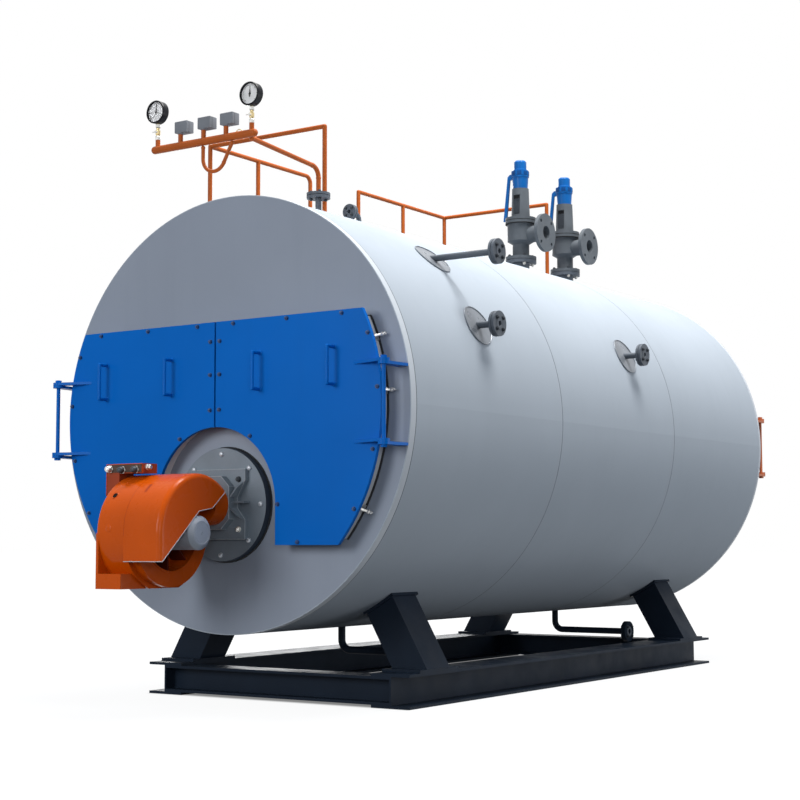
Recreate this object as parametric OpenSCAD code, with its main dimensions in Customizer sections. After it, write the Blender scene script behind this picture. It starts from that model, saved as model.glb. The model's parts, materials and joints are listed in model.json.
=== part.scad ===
// Fire-tube boiler on a steel base frame, with a monoblock burner, hinged
// smokebox doors, safety valves, instrument header and guard rails.
// X is across the boiler, -Y is the burner end, Z is up, and Z = 0 is the ground.
// The origin is on the ground, under the middle of the whole length and width.
// Distances named "from the front" run along Y from the face of the front plate.

/* [Boiler body] */
// Radius of the cladding
shell_r = 1100; // [1050:1200]
// Length of the cladding
shell_len = 4344; // [4200:4800]
// Height of the boiler axis above the ground
axis_z = 1454; // [1420:1600]
// Thickness of the cladding sheet
casing_t = 4; // [2:8]
// Thickness of the insulation under the cladding
insulation_t = 90; // [60:110]
// Wall of the pressure drum
drum_t = 16; // [10:24]
// Thickness of the two end plates
plate_t = 10; // [6:16]
// First cladding seam, from the front
seam_1 = 1486; // [1300:1700]
// Second cladding seam, from the front
seam_2 = 2928; // [2750:3100]

/* [Smokebox and tubes] */
// Depth of the smokebox behind the end plates
smokebox_depth = 300; // [200:400]
// Thickness of the tube plates
tube_plate_t = 22; // [16:30]
// Outer radius of a smoke tube
tube_r = 26; // [20:30]
// Wall of a smoke tube
tube_wall = 4; // [3:6]
// Length that a tube end stands out of its plate
tube_proud = 8; // [4:15]
// Distance between tube centres
tube_pitch = 92; // [80:120]

/* [Smokebox doors] */
// Distance between the cladding and the round sides of the doors
door_margin = 100; // [90:150]
// Top edge of the doors above the boiler axis
door_high = 450; // [400:520]
// Bottom edge of the doors below the boiler axis
door_low = 657; // [600:700]
// Thickness of a door leaf
door_t = 20; // [14:30]
// Width of the gap between the two leaves
door_gap = 10; // [10:16]
// Depth of the door frame in front of the end plate
frame_depth = 75; // [60:90]
// Gap between the closed doors and their frame
door_seal = 5; // [5:8]
// Width of the frame round the smokebox opening
frame_w = 50; // [40:60]
// Radius of the round cut-out over the burner
cutout_r = 382; // [360:400]
// Depth of the lining block on the back of a leaf
lining_t = 40; // [20:60]
// Clearance between that block and the smokebox opening
lining_gap = 12; // [8:20]
// Distance that the doors stand out past their frame
frame_inset = 30; // [10:40]

/* [Door hinges and handles] */
// Distance of the hinge pins outside the round sides of the doors
pin_out = 44; // [40:60]
// Distance of the hinge pins in front of the end plate
pin_y = 142; // [130:150]
// Radius of a hinge pin
pin_r = 10; // [8:14]
// Radial running clearance on a hinge pin
pin_clear = 0.06; // [0.03:0.01:0.1]
// Height of the hinge lugs above and below the boiler axis
lug_z = 185; // [150:220]
// Thickness of a lug
lug_t = 14; // [10:20]
// Radius of the lug round its pin
lug_r = 28; // [24:34]
// Play between a door lug and the fixed lug under it
lug_play = 0.5; // [0.3:0.1:1]
// Length of a door lug on the door, from its rounded edge
lug_arm = 155; // [100:180]
// Distance from the pin to the inner side of a fixed lug
lug_in = 22; // [16:24]
// Distance from the pin to the outer side of a fixed lug at the end plate
lug_foot = 41; // [30:44]
// Half width across the corners of a pin nut
nut_r = 17; // [15:22]
// Height of a pin nut
nut_h = 12; // [8:16]
// Grip length of a door handle
handle_len = 194; // [150:240]
// Distance of the grip from the door
handle_reach = 58; // [45:80]
// Radius of the handle bar
handle_r = 8; // [6:11]
// Position of the outer handle across the door
handle_outer_x = 732; // [680:780]
// Position of the inner handle across the door
handle_inner_x = 283; // [240:330]
// Height of the handles above the boiler axis
handle_z = 187; // [150:230]

/* [Burner] */
// Height of the burner axis below the boiler axis
burner_drop = 457; // [440:470]
// Radius of the burner flange
burner_flange_r = 280; // [260:300]
// Thickness of the burner flange
burner_flange_t = 43; // [25:50]
// Half width of the cast mounting body
cast_half = 172; // [150:185]
// Depth of the cast mounting body
cast_depth = 68; // [50:90]
// Half width of the body between its ears
cast_body = 103; // [95:120]
// Height of that body above the burner axis
cast_top = 137; // [130:160]
// Depth of that body below the burner axis
cast_bottom = 123; // [110:150]
// Chamfer on the corners of that body
cast_chamfer = 50; // [20:60]
// Thickness of the ears
ear_t = 27; // [15:35]
// Fan axis, from the front plate to the front
fan_y = 410; // [395:430]
// Fan axis below the burner axis
fan_drop = 142; // [120:160]
// Radius of the burner housing round the fan axis
housing_r = 281; // [265:290]
// Depth of the flat bottom of the housing below the fan axis
housing_bottom = 261; // [250:270]
// Radius of the left edge of the housing
housing_edge_r = 12; // [4:20]
// Left side of the housing from the middle of the boiler
housing_left = 219; // [200:240]
// Thickness of the side plate on the left of the housing
side_plate_t = 16; // [8:24]
// Height of the square block at the front corner of the housing
corner_h = 71; // [50:90]
// Right side of that block, left of the middle
corner_right = 60; // [50:90]
// Joint between the housing and the hood, left of the middle
housing_joint = 45; // [30:70]
// Right side of the hood from the middle
hood_right = 180; // [150:200]
// Sheet of the hood
hood_t = 4; // [3:6]
// Radius of the right edge of the hood
hood_edge_r = 25; // [10:40]
// Depth of the lower end of the hood below the fan axis
hood_low = 132; // [110:150]
// Width of the side plate of the hood at that end
hood_low_in = 20; // [10:30]
// Height of the step in the cut edge of the hood above the fan axis
hood_step = 102; // [95:120]
// Distance of that step in front of the fan axis
hood_step_in = 10; // [0:20]
// Height of the notch in the cut edge of the hood above the fan axis
hood_notch = 118; // [105:130]
// Distance of that notch behind the fan axis
hood_notch_y = 87; // [70:110]
// Radius of the fan inlet
inlet_r = 180; // [150:200]
// Depth of the fan inlet
inlet_depth = 120; // [100:140]
// Radius of the inlet drum under the hood
inlet_drum_r = 257; // [230:265]
// Distance that the inlet drum stands out of the housing
inlet_out = 45; // [30:60]
// Radius of the motor
motor_r = 80; // [65:90]
// Distance that the motor stands out of the hood
motor_out = 10; // [0:30]
// Bevel on the end of the motor
motor_bevel = 18; // [5:30]
// Number of vanes in the fan inlet
vane_count = 8; // [5:1:12]
// Thickness of a vane
vane_t = 8; // [4:12]
// Width of a vane along the fan axis
vane_w = 90; // [60:100]
// Width of the lip round the fan inlet
inlet_rim = 8; // [5:15]
// Distance that this lip stands out of the inlet drum
inlet_rim_out = 4; // [2:10]
// Radius of the neck between the housing and the casting
neck_r = 100; // [90:103]
// Length of that neck
neck_len = 95; // [95:105]
// Distance of the neck axis below the burner axis
neck_drop = 3; // [0:15]
// Width of the terminal box across the burner
box_w = 84; // [60:90]
// Depth of the terminal box along the boiler
box_d = 100; // [80:110]
// Front of the terminal box, from the front plate to the front
box_front = 540; // [520:550]
// Height of the terminal box
box_h = 154; // [130:170]
// Width of the shelf of the terminal box
shelf_w = 234; // [200:260]
// Height of the shelf of the terminal box
shelf_h = 46; // [30:60]
// Gap between the shelf and the top of the housing
shelf_gap = 4; // [2:8]

/* [Base frame] */
// Height of the base beams
beam_h = 168; // [140:200]
// Width of the beam flanges
beam_w = 227; // [200:250]
// Thickness of the beam flanges
beam_flange_t = 14; // [10:18]
// Thickness of the beam webs
beam_web_t = 10; // [8:14]
// Distance between the webs of the two beams
beam_spacing = 1459; // [1420:1500]
// Front end of the beams, from the front
beam_start = 368; // [300:450]
// Rear end of the beams, from the front
beam_end = 3997; // [3950:4100]
// Width of a cross beam
cross_w = 150; // [120:200]
// Centre of the front legs, from the front
leg_front_y = 640; // [600:700]
// Centre of the rear legs, before the rear end of the cladding
leg_rear_y = 630; // [600:700]
// Lean of a leg from upright
leg_lean = 30; // [26:32]
// Width of a leg across the boiler
leg_w = 180; // [150:200]
// Length of a leg along the boiler
leg_len = 212; // [180:260]
// Plate thickness of a leg
leg_t = 14; // [10:20]
// Length of a leg's base plate along the boiler
foot_len = 350; // [320:400]
// Thickness of a leg's base plate
foot_t = 15; // [10:25]
// Width of the pad round the top of a leg
pad_margin = 12; // [8:20]

/* [Pipe flanges] */
// Radius of the small flanges
flange_r = 65; // [58:75]
// Thickness of one small flange
flange_t = 14; // [12:18]
// Gasket gap between two flanges
gasket_t = 3; // [2:5]
// Outer radius of the side pipes
pipe_r = 17; // [14:22]
// Wall of the pipes
pipe_wall = 4; // [3:5]
// Distance of the side flange faces outside the cladding
side_out = 33; // [20:100]
// Gauge nozzles, from the front
level_y = 765; // [700:850]
// Upper gauge nozzle above the boiler axis
level_high = 821; // [780:850]
// Lower gauge nozzle above the boiler axis
level_low = 452; // [400:500]
// Rear side nozzle, from the front
feed_y = 2455; // [2300:2600]
// Radius of the round collars on the cladding
collar_r = 110; // [90:120]
// Thickness of a collar
collar_t = 3; // [2:5]
// Radius of the bolt holes in the small flanges
bolt_hole_r = 7; // [6:8]
// Depth of the bores in the pipe ends
bore_depth = 150; // [100:200]
// Clearance round a pipe where it leaves the cladding
pipe_gap = 6; // [3:10]

/* [Steam outlet] */
// Steam outlet left of the middle
steam_x = 360; // [240:400]
// Steam pipe, from the front
steam_y = 1649; // [1520:1760]
// Outer radius of the steam pipe
steam_r = 15; // [13:18]
// Height of the outlet axis above the top of the cladding
steam_rise = 228; // [180:260]
// Bend radius of the steam pipe
steam_bend_r = 45; // [35:60]
// Straight length between the bend and the outlet face
steam_run = 60; // [50:90]
// Radius of the two flanges of the steam outlet
steam_flange_r = 46; // [42:60]

/* [Instruments] */
// Instrument nozzle, from the front
inst_y = 756; // [700:820]
// Middle of the instrument flanges above the top of the cladding
inst_rise = 138; // [120:160]
// Header position, from the front
header_y = 150; // [120:200]
// Header axis above the top of the cladding
header_rise = 358; // [330:400]
// Radius of the header
header_r = 21; // [17:26]
// Left end of the header from the middle
header_left = 643; // [630:700]
// Right end of the header from the middle
header_right = 37; // [30:70]
// Radius of the small instrument pipes
small_pipe_r = 13; // [10:15]
// Radius of a gauge case
gauge_r = 62; // [50:80]
// Depth of a gauge case
gauge_depth = 42; // [30:60]
// Height of the gauge centres above the header axis
gauge_rise = 203; // [180:230]
// Height of the middle of a switch box above the header axis
switch_rise = 100; // [90:120]
// Distance of the middle of a switch box behind the header axis
switch_back = 18; // [0:24]
// Distance of the middle of a switch box right of its stub
switch_side = 8; // [0:20]
// Left gauge, left of the middle
gauge_left = 624; // [600:640]
// Right gauge, right of the middle
gauge_right = 22; // [0:30]
// Height of a gauge stub above the header
stub_rise = 32; // [25:40]
// Radius of a gauge stem
stem_r = 8; // [6:10]
// Left switch, left of the middle
switch_left = 463; // [440:480]
// Middle switch, left of the middle
switch_middle = 303; // [280:320]
// Right switch, left of the middle
switch_right = 150; // [130:160]
// Width of a switch box
switch_w = 86; // [80:110]
// Depth of a switch box
switch_d = 58; // [50:80]
// Height of a switch box
switch_h = 62; // [55:80]
// Bend radius of the header pipe
pipe_bend_r = 60; // [45:75]
// Fall of the header pipe towards the instrument nozzle, in degrees
pipe_fall = 4.6; // [0:0.1:8]
// Depth of the front end of that pipe below the header axis
header_dip = 18; // [0:30]
// Middle of the siphon, left of the middle
siphon_x = 229; // [210:250]
// Half width of the siphon
siphon_loop_r = 76; // [70:90]
// Depth of the straight legs of the siphon under the header axis
siphon_drop = 92; // [70:110]
// Lean of the right leg of the siphon from upright
siphon_lean = 29; // [0:35]
// Radius of the siphon pipe
siphon_r = 10; // [8:12]

/* [Safety valves] */
// First safety valve, from the front
valve_1_y = 2990; // [2850:3050]
// Second safety valve, from the front
valve_2_y = 3605; // [3550:3700]
// Height of the valve seat above the top of the cladding
valve_rise = 101; // [95:130]
// Radius of the valve flanges
valve_flange_r = 101; // [90:110]
// Thickness of one valve flange
valve_flange_t = 21; // [18:26]
// Radius of the valve body
valve_body_r = 88; // [75:95]
// Radius of the outlet flange
outlet_r = 125; // [110:130]
// Outlet face from the valve axis
outlet_reach = 192; // [180:220]
// Radius of the bonnet
bonnet_r = 58; // [50:65]
// Radius of the valve neck
valve_neck_r = 55; // [48:60]
// Radius of the bolt holes in the valve flanges
valve_hole_r = 8; // [7:9]
// Height at which the neck starts to widen to the body
valve_neck_h = 104; // [95:110]
// Height of the top of the valve body
valve_body_h = 261; // [250:280]
// Height of the outlet axis above the foot of the valve
outlet_rise = 166; // [160:175]
// Radius of the outlet pipe
outlet_pipe_r = 54; // [50:60]
// Radius of the outlet bore
outlet_bore_r = 44; // [34:46]
// Thickness of the outlet flange
outlet_t = 24; // [20:28]
// Radius of the bolt holes in the outlet flange
outlet_hole_r = 12; // [8:14]
// Thickness of the bonnet flange
bonnet_flange_t = 19; // [15:24]
// Height of the bonnet
bonnet_h = 215; // [190:240]
// Width of the windows in a bonnet
window_w = 48; // [30:54]
// Height of the windows in a bonnet
window_h = 130; // [90:140]
// Height of the windows above the foot of the bonnet
window_rise = 40; // [30:50]
// Radius of the cap at its foot
cap_r = 48; // [42:52]
// Growth of that radius up to the collar
cap_flare = 6; // [0:8]
// Height of the cap up to its collar
cap_h = 86; // [70:95]
// Half width across the corners of the collar
cap_collar_r = 60; // [58:70]
// Height of the collar
cap_collar_h = 33; // [25:40]
// Height of the top of the cap above its collar
cap_top_h = 70; // [60:85]
// Radius of the top of the cap
cap_top_r = 41; // [36:46]
// Distance of the lift lever from the valve axis, at its top
lever_out = 77; // [70:90]
// Length of the lift lever
lever_len = 312; // [250:330]
// Width of the lift lever across the boiler
lever_t = 24; // [15:30]
// Thickness of the lift lever along the boiler
lever_w = 12; // [8:18]
// Distance that the lift lever leans out at its lower end
lever_lean = 27; // [24:40]

/* [Guard rail] */
// Distance of the side rail from the middle
rail_x = 880; // [850:900]
// Height of the rail above the top of the cladding
rail_rise = 560; // [500:620]
// Radius of the rail tube
rail_r = 13; // [10:17]
// Front end of the front rail, from the front
rail_a_start = 880; // [870:890]
// Middle post of the front rail, from the front
rail_a_middle = 1325; // [1250:1400]
// Rear end of the front rail, from the front
rail_a_end = 1850; // [1800:1900]
// Front end of the rear rail, from the front
rail_b_start = 2378; // [2300:2450]
// Middle post of the rear rail, from the front
rail_b_middle = 2908; // [2850:2960]
// Rear end of the rear rail, from the front
rail_b_end = 3440; // [3400:3450]
// Right end of the cross rails, left of the middle
rail_inner_x = 50; // [40:60]
// Bend radius at the rear end of the front rail
rail_bend_r = 45; // [30:60]

/* [Drains] */
// Front drain, from the front
drain_1_y = 977; // [930:1050]
// Rear drain, from the front
drain_2_y = 3408; // [3300:3450]
// Depth of the drain axis below the cladding
drain_drop = 126; // [110:135]
// Distance of the drain flange face from the middle
drain_reach = 545; // [500:560]
// Radius of a drain pipe
drain_r = 20; // [17:24]
// Bend radius of a drain pipe
drain_bend_r = 55; // [45:60]

/* [Rear end] */
// Top edge of the rear door above the boiler axis
rear_door_high = 330; // [300:350]
// Height of the flue outlet above the boiler axis
flue_z = 640; // [620:660]
// Radius of the flue outlet
flue_r = 180; // [150:190]
// Length of the flue outlet
flue_len = 120; // [80:180]
// Wall of the flue outlet
flue_wall = 4; // [3:6]
// Width of the flange of the flue outlet
flue_flange_w = 38; // [34:45]
// Number of bolt holes in that flange
flue_holes = 12; // [8:4:16]

/* [Hidden] */
$fn = 96;

// Small gap between pieces that seat on one another along a curve
seat = 0.3;
// Overlap of cutting bodies past the faces they cut
over = 1;
// Thickness of a weld bead where two lengths of a small pipe meet
bead = 1.5;

door_r = shell_r - door_margin;
door_front = frame_depth + door_seal + door_t;
lining_rim = frame_inset + frame_w + lining_gap;
pin_x = door_r + pin_out;
side_reach = shell_r + side_out;
drain_z = axis_z - shell_r - drain_drop;
front_reach = fan_y + housing_r;
rear_reach = max(door_front + handle_reach + handle_r, flue_len);
front_y = -(shell_len + rear_reach - front_reach) / 2;
rear_y = front_y + shell_len;
top_z = axis_z + shell_r;
sheet_in = shell_r - casing_t;
far = shell_r * 1.2;
drum_r = sheet_in - insulation_t;
tube_plate_r = drum_r - drum_t - seat;
burner_z = axis_z - burner_drop;
fan_z = burner_z - fan_drop;
leg_rear = shell_len - leg_rear_y;
valve_seat_z = top_z + valve_rise;
valve_foot_z = valve_seat_z + gasket_t / 2;
inst_seat_z = top_z + inst_rise;
steam_z = top_z + steam_rise;
steam_face = steam_y - steam_bend_r - steam_run;
header_z = top_z + header_rise;
switch_low = switch_rise - switch_h / 2;
switch_xs = [-switch_left, -switch_middle, -switch_right];
gauge_xs = [-gauge_left, gauge_right];

// Places of the smoke tubes: rows on a staggered pitch that clear the drum and the furnace
tube_row = tube_pitch * 0.866;
tube_rows = floor(door_r / tube_row);
tube_cols = floor(door_r / tube_pitch);
tube_edge = 1.5 * tube_r + frame_w + frame_inset;
tube_free = drum_r - drum_t - 2.2 * tube_r - frame_w;
function tube_x(i, j) = (i + (j % 2 == 0 ? 0 : 0.5)) * tube_pitch;
function tube_clear(x, z) = norm([x, z]) < tube_free
    && norm([x, z + burner_drop]) > cutout_r + tube_edge
    && (z > -burner_drop || abs(x) > cutout_r + tube_edge)
    && z < door_high - tube_edge
    && z > -door_low + tube_edge;
tube_places = [
    for (j = [-tube_rows : tube_rows]) for (i = [-tube_cols : tube_cols])
        if (tube_clear(tube_x(i, abs(j)), j * tube_row)) [tube_x(i, abs(j)), j * tube_row]
];

// Position along Y of a point at distance d from the front plate's face
function fy(d) = front_y + d;
// Radius of the bolt circle of a flange of radius f_r on a pipe of radius r
function bolt_circle(f_r, r) = (f_r + r) / 2;
// Radius of the raised face inside that bolt circle
function face_r(f_r, r, hole_r) = bolt_circle(f_r, r) - hole_r - 2;

// Extrusion along Y of an outline drawn round the boiler axis
module slab_y(y0, y1) {
    translate([0, y1, axis_z]) rotate([90, 0, 0]) linear_extrude(height = y1 - y0) children();
}

// Extrusion along X of an outline drawn in Y and Z
module slab_x(x0, x1) {
    translate([x0, 0, 0]) rotate([90, 0, 90]) linear_extrude(height = x1 - x0) children();
}

// Round bar along Y on the boiler axis
module drum_y(r, y0, y1) {
    translate([0, y0, axis_z]) rotate([-90, 0, 0]) cylinder(r = r, h = y1 - y0, $fn = 192);
}

// Ring along Y on the boiler axis
module ring_y(r_out, r_in, y0, y1) {
    difference() {
        drum_y(r_out, y0, y1);
        drum_y(r_in, y0 - over, y1 + over);
    }
}

// Round bar from a point along +X
module bar_x(p, r, len) {
    translate(p) rotate([0, 90, 0]) cylinder(r = r, h = len);
}

// Round bar from a point along +Y
module bar_y(p, r, len) {
    translate(p) rotate([-90, 0, 0]) cylinder(r = r, h = len);
}

// Round bar from a point upwards
module bar_z(p, r, len) {
    translate(p) cylinder(r = r, h = len);
}

// Everything inside the cladding, with the seat gap, as a cutting body
module inside_shell() {
    drum_y(shell_r + seat, front_y - over, rear_y + over);
}

// Everything inside the drum, with the seat gap, as a cutting body
module inside_drum() {
    drum_y(drum_r + seat, front_y - over, rear_y + over);
}

// Ring of bolt holes through a flange that lies between z = 0 and z = t
module bolt_holes(circle_r, hole_r, t, count) {
    for (i = [0 : count - 1]) {
        rotate([0, 0, (i + 0.5) * 360 / count]) translate([circle_r, 0, -over])
            cylinder(r = hole_r, h = t + 2 * over, $fn = 32);
    }
}

// Pair of flanges on a pipe of radius hub_r with a gasket gap, drawn upwards from z = 0
module flange_pair(hub_r, f_r = flange_r) {
    depth = 2 * flange_t + gasket_t;
    difference() {
        union() {
            cylinder(r = f_r, h = flange_t);
            cylinder(r = face_r(f_r, hub_r, bolt_hole_r), h = depth);
            translate([0, 0, flange_t + gasket_t]) cylinder(r = f_r, h = flange_t);
        }
        bolt_holes(bolt_circle(f_r, hub_r), bolt_hole_r, depth, 4);
    }
}

// Cladding

// Holes in the cladding for the gauge nozzles on one side
module side_holes(side, y) {
    translate([0, fy(y), 0]) {
        for (z = [level_high, level_low]) {
            bar_x([side > 0 ? 0 : -far, 0, axis_z + z], pipe_r + pipe_gap, far);
        }
    }
}

module casing(d0, d1) {
    difference() {
        ring_y(shell_r, sheet_in, fy(d0), fy(d1));
        side_holes(1, level_y);
        side_holes(-1, level_y);
        bar_x([0, fy(feed_y), axis_z + level_low], pipe_r + pipe_gap, far);
        bar_z([0, fy(inst_y), axis_z], pipe_r + pipe_gap, far);
        bar_z([-steam_x, fy(steam_y), axis_z], steam_r + pipe_gap, far);
        for (y = [valve_1_y, valve_2_y]) {
            bar_z([0, fy(y), axis_z], valve_neck_r + pipe_gap, far);
        }
        for (y = [drain_1_y, drain_2_y]) {
            bar_z([0, fy(y), axis_z - far], drain_r + pipe_gap, far);
        }
    }
}

module casing_front() { color("gainsboro") casing(0, seam_1); }
module casing_middle() { color("gainsboro") casing(seam_1, seam_2); }
module casing_rear() { color("gainsboro") casing(seam_2, shell_len); }

// Drum and tube plates

module drum() {
    color("slategray") ring_y(drum_r, drum_r - drum_t, front_y + plate_t, rear_y - plate_t);
}

// Outline of the doors, widened by a margin, with y measured from the boiler axis
module door_outline(margin, high) {
    intersection() {
        circle(r = door_r + margin, $fn = 192);
        translate([-2 * door_r, -door_low - margin])
            square([4 * door_r, high + door_low + 2 * margin]);
    }
}

// Cut-out over the burner, widened by a margin
module burner_cutout(margin) {
    translate([0, -burner_drop]) circle(r = cutout_r + margin, $fn = 192);
    translate([-cutout_r - margin, -door_low - 2 * frame_w])
        square([2 * (cutout_r + margin), door_low + 2 * frame_w - burner_drop]);
}

// Opening of the front smokebox
module front_opening(margin) {
    difference() {
        door_outline(margin - frame_w - frame_inset, door_high);
        burner_cutout(frame_w + frame_inset - margin);
    }
}

module front_plate() {
    color("lightslategray") difference() {
        drum_y(sheet_in - seat, front_y, front_y + plate_t);
        slab_y(front_y - over, front_y + plate_t + over) front_opening(0);
    }
}

module rear_plate() {
    color("lightslategray") difference() {
        drum_y(sheet_in - seat, rear_y - plate_t, rear_y);
        slab_y(rear_y - plate_t - over, rear_y + over) door_outline(-frame_w - frame_inset,
            rear_door_high);
        bar_y([0, rear_y - plate_t - over, axis_z + flue_z], flue_r - flue_wall, plate_t + 2 * over);
    }
}

// Tube plate with the ends of its tubes, its tubes standing out towards side -1 or 1
module tube_plate(y, side) {
    difference() {
        union() {
            drum_y(tube_plate_r, y - tube_plate_t / 2, y + tube_plate_t / 2);
            for (p = tube_places) {
                bar_y([p[0], y - (side < 0 ? tube_proud + tube_plate_t / 2 : 0), axis_z + p[1]],
                    tube_r, tube_proud + tube_plate_t / 2, $fn = 32);
            }
        }
        for (p = tube_places) {
            bar_y([p[0], y - tube_plate_t - tube_proud, axis_z + p[1]],
                tube_r - tube_wall, 2 * (tube_plate_t + tube_proud), $fn = 32);
        }
    }
}

module front_tube_plate() {
    color("dimgray") tube_plate(front_y + plate_t + smokebox_depth, -1);
}

module rear_tube_plate() {
    color("dimgray") tube_plate(rear_y - plate_t - smokebox_depth, 1);
}

// Door frames

module front_frame() {
    color("silver") slab_y(front_y - frame_depth, front_y) difference() {
        front_opening(frame_w);
        front_opening(0);
    }
}

module rear_frame() {
    color("silver") slab_y(rear_y, rear_y + frame_depth) difference() {
        door_outline(-frame_inset, rear_door_high);
        door_outline(-frame_w - frame_inset, rear_door_high);
    }
}

// Doors

// Door leaf on one side, drawn as an outline
module leaf_outline(side, inset) {
    intersection() {
        difference() {
            door_outline(-inset, door_high);
            burner_cutout(inset);
        }
        translate([side > 0 ? door_gap / 2 + inset : -2 * door_r, -2 * door_r])
            square([2 * door_r - door_gap / 2 - inset, 4 * door_r]);
    }
}

// Door leaf on one side, with a lining block on its back that enters the smokebox opening
module leaf(side) {
    slab_y(fy(-door_front), fy(-door_front + door_t)) leaf_outline(side, 0);
    slab_y(fy(-door_front + door_t - over), fy(-door_front + door_t + lining_t))
        leaf_outline(side, lining_rim);
}

// Handle as an upright U bar on the face y, with its feet towards the door
module handle(x, z, y, reach) {
    side = reach < 0 ? -1 : 1;
    for (s = [-1, 1]) {
        bar_y([x, side < 0 ? y + reach : y, z + s * (handle_len / 2 - handle_r)],
            handle_r, abs(reach), $fn = 32);
        translate([x, y + reach, z + s * (handle_len / 2 - handle_r)])
            sphere(r = handle_r, $fn = 32);
    }
    bar_z([x, y + reach, z - handle_len / 2 + handle_r], handle_r, handle_len - 2 * handle_r,
        $fn = 32);
}

// Lug on a door: a flat bar on the door face that ends in an eye round the pin
module door_lug(side, z) {
    translate([0, 0, z]) difference() {
        linear_extrude(height = lug_t) {
            translate([side * pin_x, fy(-pin_y)]) circle(r = lug_r);
            polygon([
                [side * (door_r - lug_arm), fy(-door_front)],
                [side * pin_x, fy(-pin_y) - lug_r],
                [side * pin_x, fy(-pin_y) + lug_r * 0.5],
                [side * (door_r - 12), fy(-door_front)]
            ]);
        }
        bar_z([side * pin_x, fy(-pin_y), -over], pin_r + pin_clear, lug_t + 2 * over);
    }
}

module door_fittings(side) {
    for (z = [axis_z + lug_z, axis_z - lug_z]) {
        door_lug(side, z + lug_play);
    }
    for (x = [handle_outer_x, handle_inner_x]) {
        handle(side * x, axis_z + handle_z, fy(-door_front), -handle_reach);
    }
}

// Fixed lug on the end plate
module fixed_lug(side) {
    linear_extrude(height = lug_t) {
        translate([side * pin_x, fy(-pin_y)]) circle(r = lug_r);
        polygon([
            [side * (pin_x - lug_r), fy(-pin_y)],
            [side * (pin_x + lug_r), fy(-pin_y)],
            [side * (pin_x + lug_foot), fy(0)],
            [side * (pin_x - lug_in), fy(0)],
            [side * (pin_x - lug_in), fy(-frame_depth - 30)]
        ]);
    }
}

// Two fixed lugs with the pin that runs through both and its two nuts
module hinge(side) {
    low = axis_z - lug_z - lug_t - nut_h;
    high = axis_z + lug_z + lug_t + 2 * lug_play;
    for (z = [axis_z + lug_z, axis_z - lug_z]) {
        translate([0, 0, z - lug_t]) fixed_lug(side);
    }
    bar_z([side * pin_x, fy(-pin_y), low], pin_r, high + nut_h + 1 - low);
    bar_z([side * pin_x, fy(-pin_y), low], nut_r, nut_h, $fn = 6);
    bar_z([side * pin_x, fy(-pin_y), high], nut_r, nut_h, $fn = 6);
}

module left_door() { color("royalblue") leaf(-1); }
module right_door() { color("royalblue") leaf(1); }
module left_door_fittings() { color("royalblue") door_fittings(-1); }
module right_door_fittings() { color("royalblue") door_fittings(1); }
module left_hinge() { color("royalblue") hinge(-1); }
module right_hinge() { color("royalblue") hinge(1); }

// Rear door: one leaf on the same hinge, turned to the rear end

module rear_door() {
    color("royalblue") {
        slab_y(rear_y + door_front - door_t, rear_y + door_front) door_outline(0, rear_door_high);
        slab_y(rear_y + door_front - door_t - lining_t, rear_y + door_front - door_t + over)
            door_outline(-lining_rim, rear_door_high);
    }
}

// Turns a piece drawn at the front end to the rear end
module at_rear() {
    translate([0, front_y + rear_y, 0]) mirror([0, 1, 0]) children();
}

module rear_door_fittings() {
    color("sienna") {
        at_rear() for (z = [axis_z + lug_z, axis_z - lug_z]) {
            door_lug(1, z + lug_play);
        }
        handle(-handle_outer_x, axis_z, rear_y + door_front, handle_reach);
    }
}

module rear_hinge() { color("sienna") at_rear() hinge(1); }

// Stub of the flue with a flange at its end and a seam ring on the rear plate
module flue_outlet() {
    color("slategray") translate([0, rear_y, axis_z + flue_z]) rotate([-90, 0, 0]) difference() {
        union() {
            cylinder(r = flue_r, h = flue_len);
            cylinder(r = flue_r + 20, h = 8);
            translate([0, 0, flue_len - flange_t]) cylinder(r = flue_r + flue_flange_w, h = flange_t);
        }
        translate([0, 0, -over]) cylinder(r = flue_r - flue_wall, h = flue_len + 2 * over);
        translate([0, 0, flue_len - flange_t])
            bolt_holes(flue_r + 20, bolt_hole_r, flange_t, flue_holes);
    }
}

// Burner

module burner_flange() {
    color("lightslategray") bar_y([0, fy(-burner_flange_t), burner_z], burner_flange_r,
        burner_flange_t, $fn = 128);
}

// Eight-sided mounting body with two ears above and two below, and a rib across it
module burner_casting() {
    waist = cast_half * 0.72;
    shoulder = cast_body - cast_chamfer;
    color("lightslategray") {
        translate([0, fy(-burner_flange_t), burner_z]) rotate([90, 0, 0]) {
            linear_extrude(height = ear_t) polygon([
                [-cast_half, cast_half], [cast_half, cast_half],
                [cast_half, cast_half * 0.7], [waist, cast_half * 0.2],
                [waist, -cast_half * 0.1], [cast_half, -cast_half * 0.45],
                [cast_half, -cast_half], [-cast_half, -cast_half],
                [-cast_half, -cast_half * 0.45], [-waist, -cast_half * 0.1],
                [-waist, cast_half * 0.2], [-cast_half, cast_half * 0.7]
            ]);
            linear_extrude(height = cast_depth) polygon([
                [-cast_body, cast_top - cast_chamfer], [-shoulder, cast_top],
                [shoulder, cast_top], [cast_body, cast_top - cast_chamfer],
                [cast_body, cast_chamfer - cast_bottom], [shoulder, -cast_bottom],
                [-shoulder, -cast_bottom], [-cast_body, cast_chamfer - cast_bottom]
            ]);
            translate([-cast_half - 10, 4, 0]) cube([2 * (cast_half + 10), 10, cast_depth * 0.7]);
        }
    }
}

// Half section of a drum with one rounded edge, its radius along X and its length along Y
module drum_section(r, len, edge_r) {
    square([r - edge_r, len]);
    square([r, len - edge_r]);
    translate([r - edge_r, len - edge_r]) circle(r = edge_r, $fn = 48);
}

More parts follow.
